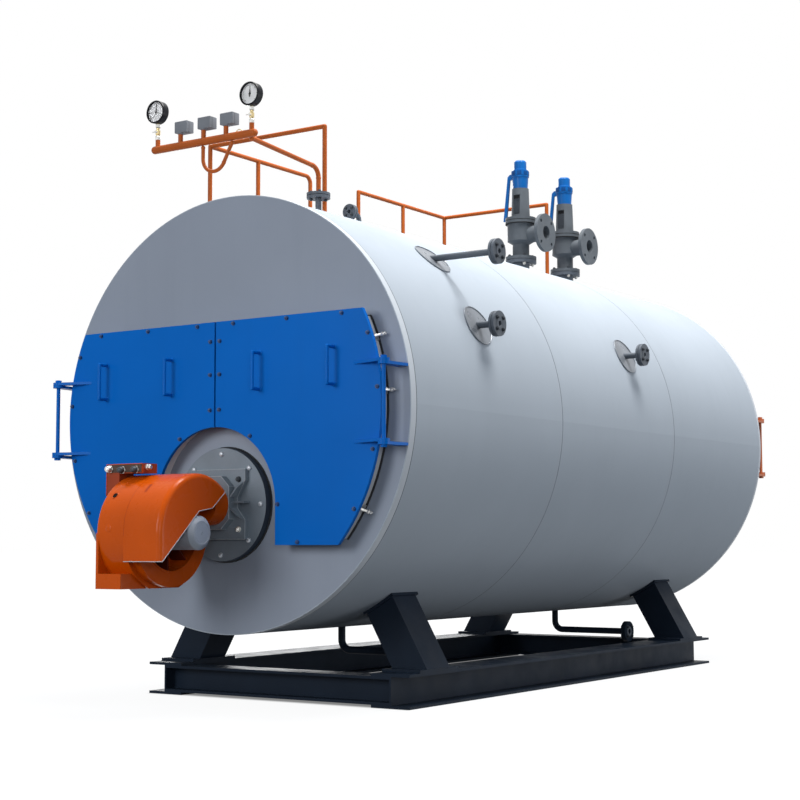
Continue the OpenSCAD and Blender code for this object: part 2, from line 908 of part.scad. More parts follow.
// Round fan housing with a flat bottom, a side plate and a block that square its front corner,
// the drum of its inlet on the right, and the neck to the casting
module burner_housing() {
    low = fan_z - housing_bottom;
    front = fy(-fan_y - housing_r);
    face = inlet_out - housing_joint;
    neck_z = burner_z - neck_drop;
    neck_y = burner_flange_t + cast_depth + neck_len;
    color("darkorange") difference() {
        union() {
            difference() {
                translate([-housing_joint, fy(-fan_y), fan_z]) rotate([0, -90, 0])
                    rotate_extrude($fn = 160)
                        drum_section(housing_r, housing_left - housing_joint, housing_edge_r);
                translate([-far, fy(-fan_y) - far, low - far]) cube([2 * far, 2 * far, far]);
            }
            translate([-housing_left, front, low]) cube([side_plate_t, housing_r, housing_bottom]);
            translate([-housing_left, front, low])
                cube([housing_left - corner_right, housing_r, corner_h]);
            bar_x([-housing_joint - over, fy(-fan_y), fan_z], inlet_drum_r, inlet_out + over,
                $fn = 128);
            bar_x([face - over, fy(-fan_y), fan_z], inlet_r + inlet_rim, inlet_rim_out + over,
                $fn = 128);
            bar_y([0, fy(-neck_y), neck_z], neck_r, neck_len);
            bar_x([-housing_left + 20, fy(-neck_y + neck_len / 2), neck_z - 17], 0.4 * neck_r,
                housing_left - 20);
        }
        bar_x([face - inlet_depth, fy(-fan_y), fan_z], inlet_r, inlet_depth + 20, $fn = 128);
    }
}

// Region of the hood above its cut lower edge, drawn in Y and Z
module hood_keep() {
    ahead = fan_y + housing_r + 20;
    polygon([
        [fy(-ahead), fan_z - hood_low],
        [fy(-fan_y - housing_r + hood_low_in), fan_z - hood_low],
        [fy(-fan_y - hood_step_in), fan_z + hood_step],
        [fy(-fan_y + hood_notch_y), fan_z + hood_notch],
        [fy(-fan_y + housing_r * 0.70), fan_z + housing_r * 0.75],
        [fy(-fan_y + housing_r * 0.9), fan_z + housing_r * 1.2],
        [fy(-ahead), fan_z + housing_r * 1.2]
    ]);
}

// Half section of the hood: a sheet drum with a rounded right edge
module hood_section() {
    len = hood_right + housing_joint;
    difference() {
        drum_section(housing_r, len, hood_edge_r);
        translate([-over, -over])
            drum_section(housing_r - hood_t + over, len - hood_t + over, hood_edge_r - hood_t);
    }
}

// Sheet hood over the fan inlet: bent round the fan axis above, straight at the front below
module burner_hood() {
    color("darkorange") intersection() {
        union() {
            intersection() {
                translate([-housing_joint, fy(-fan_y), fan_z]) rotate([0, 90, 0])
                    rotate_extrude($fn = 160) hood_section();
                translate([-far, fy(-fan_y) - far, fan_z]) cube([2 * far, 2 * far, far]);
            }
            translate([-housing_joint, fy(-fan_y), fan_z - hood_low - over])
                linear_extrude(height = hood_low + over) rotate([0, 0, -90]) hood_section();
        }
        slab_x(-housing_joint - over, hood_right + over) hood_keep();
    }
}

// Vane spider in the fan inlet, which carries the motor
module burner_vanes() {
    back = inlet_out - inlet_depth;
    color("maroon") translate([-housing_joint, fy(-fan_y), fan_z]) rotate([0, 90, 0]) difference() {
        union() {
            translate([0, 0, back]) cylinder(r = motor_r * 0.9, h = -back);
            for (i = [0 : vane_count - 1]) {
                rotate([0, 0, i * 360 / vane_count])
                    translate([motor_r * 0.8, -vane_t / 2, back + 10])
                        cube([inlet_r - motor_r * 0.8 - seat, vane_t, vane_w]);
            }
        }
        cylinder(r = motor_r + seat, h = inlet_out + over);
    }
}

// Fan motor with a bevelled end
module burner_motor() {
    len = hood_right + motor_out + housing_joint;
    color("lightslategray") translate([-housing_joint, fy(-fan_y), fan_z]) rotate([0, 90, 0])
        rotate_extrude() polygon([
            [0, 0], [motor_r, 0], [motor_r, len - motor_bevel * 0.9],
            [motor_r - motor_bevel, len], [0, len]
        ]);
}

// Terminal box on the left of the housing, with a shelf over its top for the cable glands
module burner_box() {
    top = fan_z + housing_r + shelf_gap + shelf_h;
    color("sienna") translate([-housing_left - box_w, fy(-box_front), 0]) {
        translate([0, 0, top - box_h]) cube([box_w, box_d, box_h]);
        translate([0, 0, top - shelf_h]) cube([shelf_w, box_d, shelf_h]);
    }
}

// Base frame

// Outline of a rolled beam standing on y = 0
module beam_outline(w, h) {
    translate([-w / 2, 0]) square([w, beam_flange_t]);
    translate([-w / 2, h - beam_flange_t]) square([w, beam_flange_t]);
    translate([-beam_web_t / 2, 0]) square([beam_web_t, h]);
}

// Two long beams under the legs
module base_beams() {
    color("darkslategray") for (s = [-1, 1]) {
        translate([s * beam_spacing / 2, fy(beam_end), 0]) rotate([90, 0, 0])
            linear_extrude(height = beam_end - beam_start) beam_outline(beam_w, beam_h);
    }
}

// Beams between the webs of the long beams, at their two ends
module cross_beams() {
    len = beam_spacing - beam_web_t;
    h = beam_h - 2 * beam_flange_t;
    color("darkslategray") for (y = [beam_start + cross_w / 2, beam_end - cross_w / 2]) {
        translate([0, fy(y), beam_flange_t]) slab_x(-len / 2, len / 2) beam_outline(cross_w, h);
    }
}

// Leg: a plated box along a radius of the shell, cut to the cladding and to its base plate
module leg(side, d) {
    foot_z = beam_h + foot_t;
    color("darkslategray") difference() {
        union() {
            difference() {
                translate([0, fy(d) - leg_len / 2, axis_z]) rotate([0, -side * leg_lean, 0])
                    translate([-leg_w / 2, 0, -2 * shell_r]) difference() {
                        cube([leg_w, leg_len, 2 * shell_r]);
                        translate([leg_t, leg_t, -over])
                            cube([leg_w - 2 * leg_t, leg_len - 2 * leg_t, 2 * shell_r - 1]);
                    }
                translate([-2 * shell_r, fy(d) - leg_len, foot_z - 2 * shell_r])
                    cube([4 * shell_r, 2 * leg_len, 2 * shell_r]);
            }
            intersection() {
                translate([0, fy(d) - leg_len / 2 - pad_margin, axis_z]) rotate([0, -side * leg_lean, 0])
                    translate([-leg_w / 2 - pad_margin, 0, -2 * shell_r])
                        cube([leg_w + 2 * pad_margin, leg_len + 2 * pad_margin, 2 * shell_r]);
                drum_y(shell_r + leg_t, fy(d) - leg_len, fy(d) + leg_len);
            }
            translate([side * beam_spacing / 2 - beam_w / 2, fy(d) - foot_len / 2, beam_h])
                cube([beam_w, foot_len, foot_t]);
        }
        inside_shell();
    }
}

module legs() {
    for (s = [-1, 1]) {
        for (d = [leg_front_y, leg_rear]) {
            leg(s, d);
        }
    }
}

// Pipes and nozzles

// Quarter bend from upright at the origin to level along +X
module bend(r, bend_r) {
    translate([bend_r, 0, 0]) rotate([90, 0, 0]) rotate([0, 0, 90])
        rotate_extrude(angle = 90) translate([bend_r, 0]) circle(r = r, $fn = 48);
}

// Pipe from the drum through the cladding to a pair of flanges
module side_nozzle(side, d, z) {
    color("dimgray") translate([0, fy(d), axis_z + z]) difference() {
        union() {
            difference() {
                bar_x([side > 0 ? 0 : -side_reach + flange_t, 0, 0], pipe_r, side_reach - flange_t);
                translate([0, -fy(d), -axis_z - z]) inside_drum();
            }
            translate([side * side_reach, 0, 0]) rotate([0, -side * 90, 0]) flange_pair(pipe_r);
        }
        bar_x([side > 0 ? side_reach - bore_depth : -side_reach - over, 0, 0],
            pipe_r - pipe_wall, bore_depth + over);
    }
}

module side_nozzles() {
    for (z = [level_high, level_low]) {
        for (s = [-1, 1]) {
            side_nozzle(s, level_y, z);
        }
    }
    side_nozzle(1, feed_y, level_low);
}

// Round collar rolled onto the cladding where a side pipe leaves it
module collar(side, d, z) {
    lean = asin(z / shell_r);
    color("silver") difference() {
        intersection() {
            translate([0, fy(d), axis_z]) rotate([0, side > 0 ? -lean : 180 + lean, 0])
                bar_x([0, 0, 0], collar_r, far);
            ring_y(shell_r + collar_t, shell_r + seat, fy(d) - 2 * collar_r, fy(d) + 2 * collar_r);
        }
        bar_x([side > 0 ? 0 : -far, fy(d), axis_z + z], pipe_r + seat, far);
    }
}

module nozzle_collars() {
    for (z = [level_high, level_low]) {
        for (s = [-1, 1]) {
            collar(s, level_y, z);
        }
    }
    collar(1, feed_y, level_low);
}

// Nozzle that stands on the drum and ends in a flange, whose raised face is at height z
module top_nozzle(d, r, f_r, f_t, z, hole_r) {
    flange_z = z - gasket_t / 2 - f_t;
    translate([0, fy(d), 0]) difference() {
        union() {
            bar_z([0, 0, axis_z], r, flange_z - axis_z + over);
            bar_z([0, 0, flange_z], f_r, f_t);
            bar_z([0, 0, flange_z], face_r(f_r, r, hole_r), z - flange_z);
        }
        translate([0, -fy(d), 0]) inside_drum();
        bar_z([0, 0, flange_z - 100], r - pipe_wall, 200);
        translate([0, 0, flange_z]) bolt_holes(bolt_circle(f_r, r), hole_r, f_t, 4);
    }
}

// Nozzle of the instruments, with the pair of flanges under the header pipe
module instrument_nozzle() {
    flange_z = inst_seat_z - gasket_t / 2 - flange_t;
    translate([0, fy(inst_y), 0]) difference() {
        union() {
            bar_z([0, 0, axis_z], pipe_r, flange_z - axis_z + over);
            translate([0, 0, flange_z]) flange_pair(pipe_r);
        }
        translate([0, -fy(inst_y), 0]) inside_drum();
        bar_z([0, 0, flange_z - 100], pipe_r - pipe_wall, 100 + flange_t);
    }
}

// Steam pipe that rises from the drum, bends to the front and ends in a pair of flanges
module steam_nozzle() {
    difference() {
        translate([-steam_x, fy(steam_y), 0]) {
            bar_z([0, 0, axis_z], steam_r, steam_z - steam_bend_r - axis_z);
            translate([0, 0, steam_z - steam_bend_r]) rotate([0, 0, -90]) bend(steam_r, steam_bend_r);
            bar_y([0, -steam_bend_r - steam_run + flange_t, steam_z], steam_r, steam_run - flange_t);
            translate([0, -steam_bend_r - steam_run, steam_z]) rotate([-90, 0, 0])
                flange_pair(steam_r, steam_flange_r);
        }
        inside_drum();
        bar_y([-steam_x, fy(steam_face) - over, steam_z], steam_r - pipe_wall, steam_run + over);
    }
}

module top_nozzles() {
    color("dimgray") {
        instrument_nozzle();
        for (d = [valve_1_y, valve_2_y]) {
            top_nozzle(d, valve_neck_r, valve_flange_r, valve_flange_t, valve_seat_z, valve_hole_r);
        }
        steam_nozzle();
    }
}

// Drain pipe from the bottom of the drum down and to the right
module drain_pipe(d) {
    color("darkslategray") translate([0, fy(d), 0]) difference() {
        union() {
            bar_z([0, 0, drain_z + drain_bend_r], drain_r, axis_z - drain_z - drain_bend_r);
            translate([0, 0, drain_z + drain_bend_r]) mirror([0, 0, 1]) bend(drain_r, drain_bend_r);
            bar_x([drain_bend_r, 0, drain_z], drain_r, drain_reach - drain_bend_r - flange_t);
            translate([drain_reach, 0, drain_z]) rotate([0, -90, 0]) flange_pair(drain_r);
        }
        translate([0, -fy(d), 0]) inside_drum();
        bar_x([drain_reach - bore_depth, 0, drain_z], drain_r - pipe_wall, bore_depth + over);
    }
}

module drain_pipes() {
    drain_pipe(drain_1_y);
    drain_pipe(drain_2_y);
}

// Instruments

// Header with a stub under each gauge and each switch
module instrument_header() {
    y = fy(header_y);
    color("chocolate") {
        bar_x([-header_left, y, header_z], header_r, header_left + header_right);
        for (x = [-header_left, header_right]) {
            translate([x, y, header_z]) sphere(r = header_r, $fn = 48);
        }
        for (x = gauge_xs) {
            bar_z([x, y, header_z], small_pipe_r, header_r + stub_rise);
        }
        for (x = switch_xs) {
            bar_z([x, y, header_z], small_pipe_r, switch_low);
        }
    }
}

// Pipe from the instrument nozzle up, over and forward to the header
module header_pipe() {
    ball_r = small_pipe_r + bead;
    start_y = header_y + sqrt(pow(header_r + ball_r + seat, 2) - pow(header_dip, 2));
    run_z = header_z - header_dip;
    run = (inst_y - pipe_bend_r + pipe_bend_r * sin(pipe_fall) - start_y) / cos(pipe_fall);
    bend_z = run_z - run * sin(pipe_fall) - pipe_bend_r * cos(pipe_fall);
    foot_z = inst_seat_z + gasket_t / 2 + flange_t;
    color("chocolate") {
        bar_z([0, fy(inst_y), foot_z], small_pipe_r, bend_z - foot_z);
        translate([0, fy(inst_y), bend_z]) sphere(r = ball_r, $fn = 48);
        translate([0, fy(inst_y - pipe_bend_r), bend_z]) rotate([90, 0, 90])
            rotate_extrude(angle = 90 - pipe_fall) translate([pipe_bend_r, 0])
                circle(r = small_pipe_r, $fn = 48);
        translate([0, fy(start_y), run_z]) rotate([-pipe_fall, 0, 0]) {
            sphere(r = ball_r, $fn = 48);
            bar_y([0, 0, 0], small_pipe_r, run);
            translate([0, run, 0]) sphere(r = ball_r, $fn = 48);
        }
    }
}

// Siphon pipe that hangs under the header, with one upright and one leaning leg
module siphon() {
    ball_r = siphon_r + bead;
    drop = siphon_drop - header_r - ball_r - seat;
    leg = (drop + siphon_loop_r * sin(siphon_lean)) / cos(siphon_lean);
    color("chocolate") translate([-siphon_x, fy(header_y), header_z - siphon_drop]) {
        bar_z([-siphon_loop_r, 0, 0], siphon_r, drop);
        translate([-siphon_loop_r, 0, drop]) sphere(r = ball_r, $fn = 48);
        rotate([90, 0, 0]) rotate([0, 0, 180]) rotate_extrude(angle = 180 - siphon_lean)
            translate([siphon_loop_r, 0]) circle(r = siphon_r, $fn = 48);
        rotate([0, siphon_lean, 0]) translate([siphon_loop_r, 0, 0]) {
            sphere(r = ball_r, $fn = 48);
            bar_z([0, 0, 0], siphon_r, leg);
            translate([0, 0, leg]) sphere(r = ball_r, $fn = 48);
        }
    }
}

// Gauge on a stem with a nut at each end; its rim stands out round the dial
module gauge(x) {
    rim = 5;
    stub_z = header_z + header_r + stub_rise;
    z = header_z + gauge_rise;
    translate([x, fy(header_y), 0]) {
        translate([0, gauge_depth / 2, z]) rotate([90, 0, 0]) rotate_extrude() polygon([
            [0, 0], [gauge_r - 6, 0], [gauge_r, 6], [gauge_r, gauge_depth],
            [gauge_r - rim, gauge_depth], [gauge_r - rim, gauge_depth - 6], [0, gauge_depth - 6]
        ]);
        bar_z([0, 0, stub_z], stem_r, z - stub_z - gauge_r + 4);
        bar_z([0, 0, stub_z], stem_r + 6, 22, $fn = 6);
        bar_z([0, 0, z - gauge_r - 22], stem_r + 4, 18, $fn = 6);
    }
}

module pressure_gauges() {
    color("dimgray") for (x = gauge_xs) {
        gauge(x);
    }
}

module pressure_switches() {
    color("gray") for (x = switch_xs) {
        translate([x + switch_side - switch_w / 2, fy(header_y + switch_back) - switch_d / 2,
            header_z + switch_low])
            cube([switch_w, switch_d, switch_h]);
    }
}

// Safety valves

// Valve body with its inlet flange below, its top flange and the outlet flange on the right
module valve_body(d) {
    translate([0, fy(d), valve_foot_z]) difference() {
        union() {
            cylinder(r = valve_flange_r, h = valve_flange_t);
            translate([0, 0, -gasket_t / 2])
                cylinder(r = face_r(valve_flange_r, valve_neck_r, valve_hole_r), h = gasket_t);
            cylinder(r = valve_neck_r, h = valve_neck_h + 10);
            translate([0, 0, valve_neck_h]) cylinder(r1 = valve_neck_r, r2 = valve_body_r, h = 20);
            translate([0, 0, valve_neck_h + 20])
                cylinder(r = valve_body_r, h = valve_body_h - valve_neck_h - 30);
            translate([0, 0, valve_body_h - bonnet_flange_t])
                cylinder(r = valve_flange_r, h = bonnet_flange_t);
            bar_x([0, 0, outlet_rise], outlet_pipe_r, outlet_reach);
            bar_x([outlet_reach - outlet_t, 0, outlet_rise], outlet_r, outlet_t);
        }
        bolt_holes(bolt_circle(valve_flange_r, valve_neck_r), valve_hole_r, valve_flange_t, 4);
        translate([outlet_reach - outlet_t, 0, outlet_rise]) rotate([0, 90, 0])
            bolt_holes(outlet_r * 0.78, outlet_hole_r, outlet_t, 4);
        bar_x([valve_body_r * 0.4, 0, outlet_rise], outlet_bore_r, outlet_reach);
    }
}

module valve_bodies() {
    color("dimgray") for (d = [valve_1_y, valve_2_y]) {
        valve_body(d);
    }
}

// Bonnet with its own flange on the body and a tall window at the front and the rear
module valve_bonnets() {
    color("gray") for (d = [valve_1_y, valve_2_y]) {
        translate([0, fy(d), valve_foot_z + valve_body_h]) difference() {
            union() {
                cylinder(r = valve_flange_r, h = bonnet_flange_t);
                cylinder(r1 = bonnet_r + 4, r2 = bonnet_r - 3, h = bonnet_h);
            }
            for (s = [-1, 1]) {
                translate([-window_w / 2, s * bonnet_r - 16, window_rise])
                    cube([window_w, 32, window_h]);
            }
        }
    }
}

// Lift lever on the left of a cap, bent down beside the bonnet from height z
module lift_lever(z) {
    translate([0, lever_w / 2, z]) rotate([90, 0, 0]) linear_extrude(height = lever_w) polygon([
        [-cap_r * 0.5, 0], [-lever_out, 0], [-lever_out - lever_t * 0.7, -lever_t * 0.6],
        [-lever_out - lever_t - lever_lean, -lever_len], [-lever_out - lever_lean, -lever_len],
        [-lever_out, -lever_t * 1.6], [-cap_r * 0.5, -lever_t]
    ]);
}

// Cap: a flared foot, an eight-sided collar, a narrower top, and the lift lever on its left
module valve_caps() {
    collar_z = cap_h + cap_collar_h;
    color("royalblue") for (d = [valve_1_y, valve_2_y]) {
        translate([0, fy(d), valve_foot_z + valve_body_h + bonnet_h]) {
            cylinder(r1 = cap_r, r2 = cap_r + cap_flare, h = cap_h);
            translate([0, 0, cap_h]) cylinder(r = cap_collar_r, h = cap_collar_h, $fn = 8);
            translate([0, 0, collar_z]) cylinder(r = cap_top_r, h = cap_top_h - 10);
            translate([0, 0, collar_z + cap_top_h - 10])
                cylinder(r1 = cap_top_r, r2 = cap_top_r - 8, h = 10);
            lift_lever(cap_h + cap_collar_h * 0.6);
        }
    }
}

// Guard rails

// Post of a guard rail, from the cladding up to height z
module rail_post(x, d, z) {
    difference() {
        bar_z([x, fy(d), axis_z], rail_r, z - axis_z, $fn = 48);
        inside_shell();
    }
}

// Side rail with its middle and end posts, and a cross rail at the corner d0;
// the end d1 is bent with radius end_r, or square where that is 0
module guard_rail(d0, middle, d1, end_r) {
    z = top_z + rail_rise;
    away = d1 > d0 ? 1 : -1;
    near = min(d0, d1 - away * end_r);
    length = abs(d1 - d0) - end_r;
    rail_post(-rail_x, d0, z);
    rail_post(-rail_x, middle, z);
    rail_post(-rail_x, d1, z - end_r);
    rail_post(-rail_inner_x, d0, z);
    bar_y([-rail_x, fy(near), z], rail_r, length, $fn = 48);
    bar_x([-rail_x, fy(d0), z], rail_r, rail_x - rail_inner_x, $fn = 48);
    for (p = [[-rail_x, d0], [-rail_inner_x, d0]]) {
        translate([p[0], fy(p[1]), z]) sphere(r = rail_r, $fn = 48);
    }
    if (end_r > 0) {
        translate([-rail_x, fy(d1), z - end_r]) rotate([0, 0, -90 * away]) bend(rail_r, end_r);
    } else {
        translate([-rail_x, fy(d1), z]) sphere(r = rail_r, $fn = 48);
    }
}

module front_guard_rail() {
    color("chocolate") guard_rail(rail_a_start, rail_a_middle, rail_a_end, rail_bend_r);
}

module rear_guard_rail() {
    color("chocolate") guard_rail(rail_b_end, rail_b_middle, rail_b_start, 0);
}

casing_front();
casing_middle();
casing_rear();
drum();
front_plate();
rear_plate();
front_tube_plate();
rear_tube_plate();
front_frame();
rear_frame();
left_door();
left_door_fittings();
left_hinge();
right_door();
right_door_fittings();
right_hinge();
rear_door();
rear_door_fittings();
rear_hinge();
flue_outlet();
burner_flange();
burner_casting();
burner_housing();
burner_hood();
burner_vanes();
burner_motor();
burner_box();
base_beams();
cross_beams();
legs();
side_nozzles();
nozzle_collars();
top_nozzles();
drain_pipes();
instrument_header();
header_pipe();
siphon();
pressure_gauges();
pressure_switches();
valve_bodies();
valve_bonnets();
valve_caps();
front_guard_rail();
rear_guard_rail();
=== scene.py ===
# %% [markdown]
# # A horizontal fire-tube boiler
# The construction comes packed, in metres, with +Z up and the burner end at -Y.
# Here the boiler gets its paint, its fasteners and its small fittings.
# Loading it first means that every later piece can be placed by the solids it sits on.

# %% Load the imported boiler
import json
import math
import random
from collections import namedtuple

import bmesh
import bpy
from mathutils import Matrix, Vector

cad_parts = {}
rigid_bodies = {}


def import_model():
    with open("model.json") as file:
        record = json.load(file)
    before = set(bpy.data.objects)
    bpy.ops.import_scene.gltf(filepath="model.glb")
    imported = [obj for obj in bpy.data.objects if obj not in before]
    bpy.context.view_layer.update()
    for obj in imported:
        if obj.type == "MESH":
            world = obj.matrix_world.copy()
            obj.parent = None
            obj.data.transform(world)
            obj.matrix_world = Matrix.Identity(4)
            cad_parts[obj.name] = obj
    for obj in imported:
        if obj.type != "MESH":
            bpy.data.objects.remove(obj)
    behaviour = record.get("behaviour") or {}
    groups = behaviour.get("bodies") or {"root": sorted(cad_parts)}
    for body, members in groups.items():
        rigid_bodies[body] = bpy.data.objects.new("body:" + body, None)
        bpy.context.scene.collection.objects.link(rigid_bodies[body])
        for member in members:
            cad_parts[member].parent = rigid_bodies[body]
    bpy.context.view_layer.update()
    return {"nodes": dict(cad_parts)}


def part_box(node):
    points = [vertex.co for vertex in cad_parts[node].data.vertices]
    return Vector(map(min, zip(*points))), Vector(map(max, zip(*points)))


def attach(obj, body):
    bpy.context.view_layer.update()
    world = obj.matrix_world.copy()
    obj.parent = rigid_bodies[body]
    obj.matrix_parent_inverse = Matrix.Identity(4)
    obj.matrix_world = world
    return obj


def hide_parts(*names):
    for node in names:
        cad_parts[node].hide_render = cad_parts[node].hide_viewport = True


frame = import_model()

nodes = frame["nodes"]

# %% [markdown]
# Three numbers place everything: the face of the front plate, the axis of the shell and its radius.
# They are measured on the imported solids, so a changed size moves the small pieces with it.
# Sizes below are millimetres, as on a workshop drawing: across, back from the front plate, above the axis.

# %% Measure the shell
MM = 0.001
Corner = namedtuple("Corner", "x d h")
front_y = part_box("casing_front")[0].y
casing_low, casing_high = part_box("casing_middle")
shell_r = (casing_high.z - casing_low.z) / 2 / MM
axis_z = (casing_high.z + casing_low.z) / 2


def at(x, d, h):
    """A point x mm right of the middle, d mm behind the front plate, h mm above the boiler axis."""
    return Vector((x * MM, front_y + d * MM, axis_z + h * MM))


def corners(node):
    """The lowest and the highest corner of a node's box, each as x, d and h in mm."""
    return [Corner(p.x / MM, (p.y - front_y) / MM, (p.z - axis_z) / MM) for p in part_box(node)]


def middle_of(node):
    """The middle of a node's box, as x, d and h in mm."""
    return Corner(*(sum(pair) / 2 for pair in zip(*corners(node))))


shell_len = corners("casing_rear")[1].d
print("shell radius", round(shell_r), "mm, length", round(shell_len), "mm, axis at", round(axis_z, 3), "m")

# %% [markdown]
# The camera stands low at the burner end and looks slightly up along the right side.
# Its place, heading, pitch and lens were solved from straight edges and round edges of the shell,
# so the model falls on the picture without any shift.

# %% Camera
def aim(heading, pitch, roll):
    """Camera rotation from a heading left of +Y, a pitch above level and a roll, in degrees."""
    heading, pitch, roll = (math.radians(a) for a in (heading, pitch, roll))
    look = Vector((-math.sin(heading) * math.cos(pitch), math.cos(heading) * math.cos(pitch), math.sin(pitch)))
    side = Vector((math.cos(heading), math.sin(heading), 0))
    up = side.cross(look)
    right = side * math.cos(roll) + up * math.sin(roll)
    top = up * math.cos(roll) - side * math.sin(roll)
    return Matrix((right, top, -look)).transposed()


lens = bpy.data.cameras.new("camera")
lens.sensor_width = 36
lens.sensor_fit = "HORIZONTAL"
lens.lens = 73.22
lens.clip_end = 400
camera = bpy.data.objects.new("camera", lens)
bpy.context.scene.collection.objects.link(camera)
camera.matrix_world = Matrix.Translation((5.2364, front_y - 6.2711, 0.8134)) @ aim(33.798, 4.964, -0.131).to_4x4()
bpy.context.scene.camera = camera
print("camera at", [round(v, 3) for v in camera.matrix_world.translation])

# %% [markdown]
# Sky, floor and paints are all made of nodes. Each of these helpers places one node and returns its result,
# so that a recipe reads like a sum. Where a helper takes a value, it may be a number, a colour or a socket.

# %% Node helpers
def feed(tree, item, socket):
    """Sets a socket to a value, or links it where the item is a socket itself."""
    if hasattr(item, "is_linked"):
        tree.links.new(item, socket)
    else:
        socket.default_value = item


def sums(tree, kind, a, b):
    """One Math node on two values."""
    node = tree.nodes.new("ShaderNodeMath")
    node.operation = kind
    feed(tree, a, node.inputs[0])
    feed(tree, b, node.inputs[1])
    return node.outputs[0]


def vectors(tree, kind, a, b=(0, 0, 0)):
    """One Vector Math node on two values."""
    node = tree.nodes.new("ShaderNodeVectorMath")
    node.operation = kind
    feed(tree, a, node.inputs[0])
    feed(tree, b, node.inputs[1])
    return node.outputs["Value" if kind == "LENGTH" else "Vector"]


def spread(tree, value, low, high, to_low=0.0, to_high=1.0):
    """Maps low..high of a value to to_low..to_high, clamped."""
    node = tree.nodes.new("ShaderNodeMapRange")
    for socket, item in zip(node.inputs, (value, low, high, to_low, to_high)):
        feed(tree, item, socket)
    return node.outputs[0]


def mix_colour(tree, mask, low, high):
    """Colour low where the mask is 0 and colour high where it is 1."""
    node = tree.nodes.new("ShaderNodeMix")
    node.data_type = "RGBA"
    for number, item in ((0, mask), (6, low), (7, high)):
        feed(tree, item, node.inputs[number])
    return node.outputs[2]


print("node helpers ready")

# %% [markdown]
# A plant like this is photographed on white. The floor and the sky are white only for the camera and
# for reflections; the light that they throw back on the paint is lower, so the belly of the shell stays dark.
# Light Path tells a material which kind of ray meets it. The floor glows a little less than white for those
# rays near the boiler and is lit by the lamps for the rest, so it is white in the open and keeps a faint shadow.
# Little light reaches the floor inside the base frame, so the glow is lowered there by position: a painted shadow, deep
# between the beams.

# %% Sky and floor
def seen(tree):
    """1 for camera, glossy and transmission rays, 0 for the rest."""
    rays = tree.nodes.new("ShaderNodeLightPath").outputs
    mirrored = sums(tree, "MAXIMUM", rays["Is Glossy Ray"], rays["Is Transmission Ray"])
    return sums(tree, "MAXIMUM", rays["Is Camera Ray"], mirrored)


WHITE = (1, 1, 1, 1)
sky_light = (0.28, 0.31, 0.35, 1)
scene = bpy.context.scene
scene.view_settings.view_transform = "Standard"
world = bpy.data.worlds.new("studio")
world.use_nodes = True
scene.world = world
sky = world.node_tree
sky.links.new(mix_colour(sky, seen(sky), sky_light, WHITE), sky.nodes["Background"].inputs["Color"])

floor_reach = 90
floor_mesh = bpy.data.meshes.new("floor")
floor_mesh.from_pydata([(x * floor_reach, y * floor_reach, 0) for x, y in ((-1, -1), (1, -1), (1, 1), (-1, 1))],
                       [], [(0, 1, 2, 3)])
floor = bpy.data.objects.new("floor", floor_mesh)
scene.collection.objects.link(floor)
floor_paint = bpy.data.materials.new("floor")
floor_paint.use_nodes = True
floor_mesh.materials.append(floor_paint)
tree = floor_paint.node_tree
floor_skin = tree.nodes["Principled BSDF"].inputs
floor_skin["Roughness"].default_value = 1.0
floor_skin["Specular IOR Level"].default_value = 0.0
floor_skin["Base Color"].default_value = (0.08, 0.085, 0.09, 1)
floor_skin["Emission Color"].default_value = WHITE

shadow_reach, white_reach, near_glow = 3.5, 9.0, 0.93
spot = tree.nodes.new("ShaderNodeNewGeometry").outputs["Position"]
open_glow = spread(tree, vectors(tree, "LENGTH", spot), shadow_reach, white_reach, near_glow, 1.0)

# Painted shadow: inside the base frame the floor's glow falls to a quarter, set by position and not by the lamps.
edge, painted_shadow_level = 0.02, 0.25
base_low, base_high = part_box("base_beams")
base_middle = (0, (base_low.y + base_high.y) / 2, 0)
base_half = (base_high.x - edge, (base_high.y - base_low.y) / 2 - edge, 1)
from_middle = vectors(tree, "DIVIDE", vectors(tree, "SUBTRACT", spot, base_middle), base_half)
split = tree.nodes.new("ShaderNodeSeparateXYZ")
tree.links.new(vectors(tree, "ABSOLUTE", from_middle), split.inputs[0])
outward = sums(tree, "MAXIMUM", split.outputs["X"], split.outputs["Y"])
painted_shadow_glow = spread(tree, outward, 0.99, 1.03, painted_shadow_level, 1.0)
glow = sums(tree, "MULTIPLY", seen(tree), sums(tree, "MULTIPLY", open_glow, painted_shadow_glow))
tree.links.new(glow, floor_skin["Emission Strength"])
print("floor glow inside the base frame:", painted_shadow_level, "and near the boiler:", near_glow)

# %% [markdown]
# Six square soft lamps light the boiler from above, from both ends and from the right. They are large and
# far off, so shadows stay soft. The lamps are listed as place, target, size in metres and watts.

# %% Lamps
def softbox(name, place, target, size, watts, tint):
    """A square soft lamp at a place, turned to a target."""
    lamp = bpy.data.lights.new(name, "AREA")
    lamp.shape = "SQUARE"
    lamp.size = size
    lamp.energy = watts
    lamp.color = tint
    holder = bpy.data.objects.new(name, lamp)
    scene.collection.objects.link(holder)
    holder.location = place
    holder.rotation_euler = (Vector(target) - Vector(place)).to_track_quat("-Z", "Y").to_euler()


cool = (0.98, 0.99, 1.0)
softbox("key", (2.9, 0.2, 9.2), (0, 0.4, 1.8), 3.2, 760, (1.0, 0.975, 0.94))
softbox("side", (8.5, 4.0, 0.3), (0, 1.0, 1.0), 4.0, 380, cool)
softbox("fill", (6.0, -8.5, 2.2), (0, -1.8, 1.0), 2.5, 150, cool)
softbox("front", (-1.5, -10.0, 3.2), (0, -2.0, 1.3), 3.5, 370, cool)
softbox("rear", (-6.5, 8.0, 4.5), (0, 1.0, 1.3), 4.0, 420, cool)
softbox("top", (0.2, 0.5, 9.5), (0, 0.3, 2.5), 5.0, 760, (1.0, 0.98, 0.95))

# %% [markdown]
# Sprayed paint is never one flat tone. It has soft patches, a fine orange peel, dust where it lies level
# and faint runs where rain has washed it. Each effect is one shader group with its own inputs,
# so that every paint on the boiler shares the effect and sets its own amount.

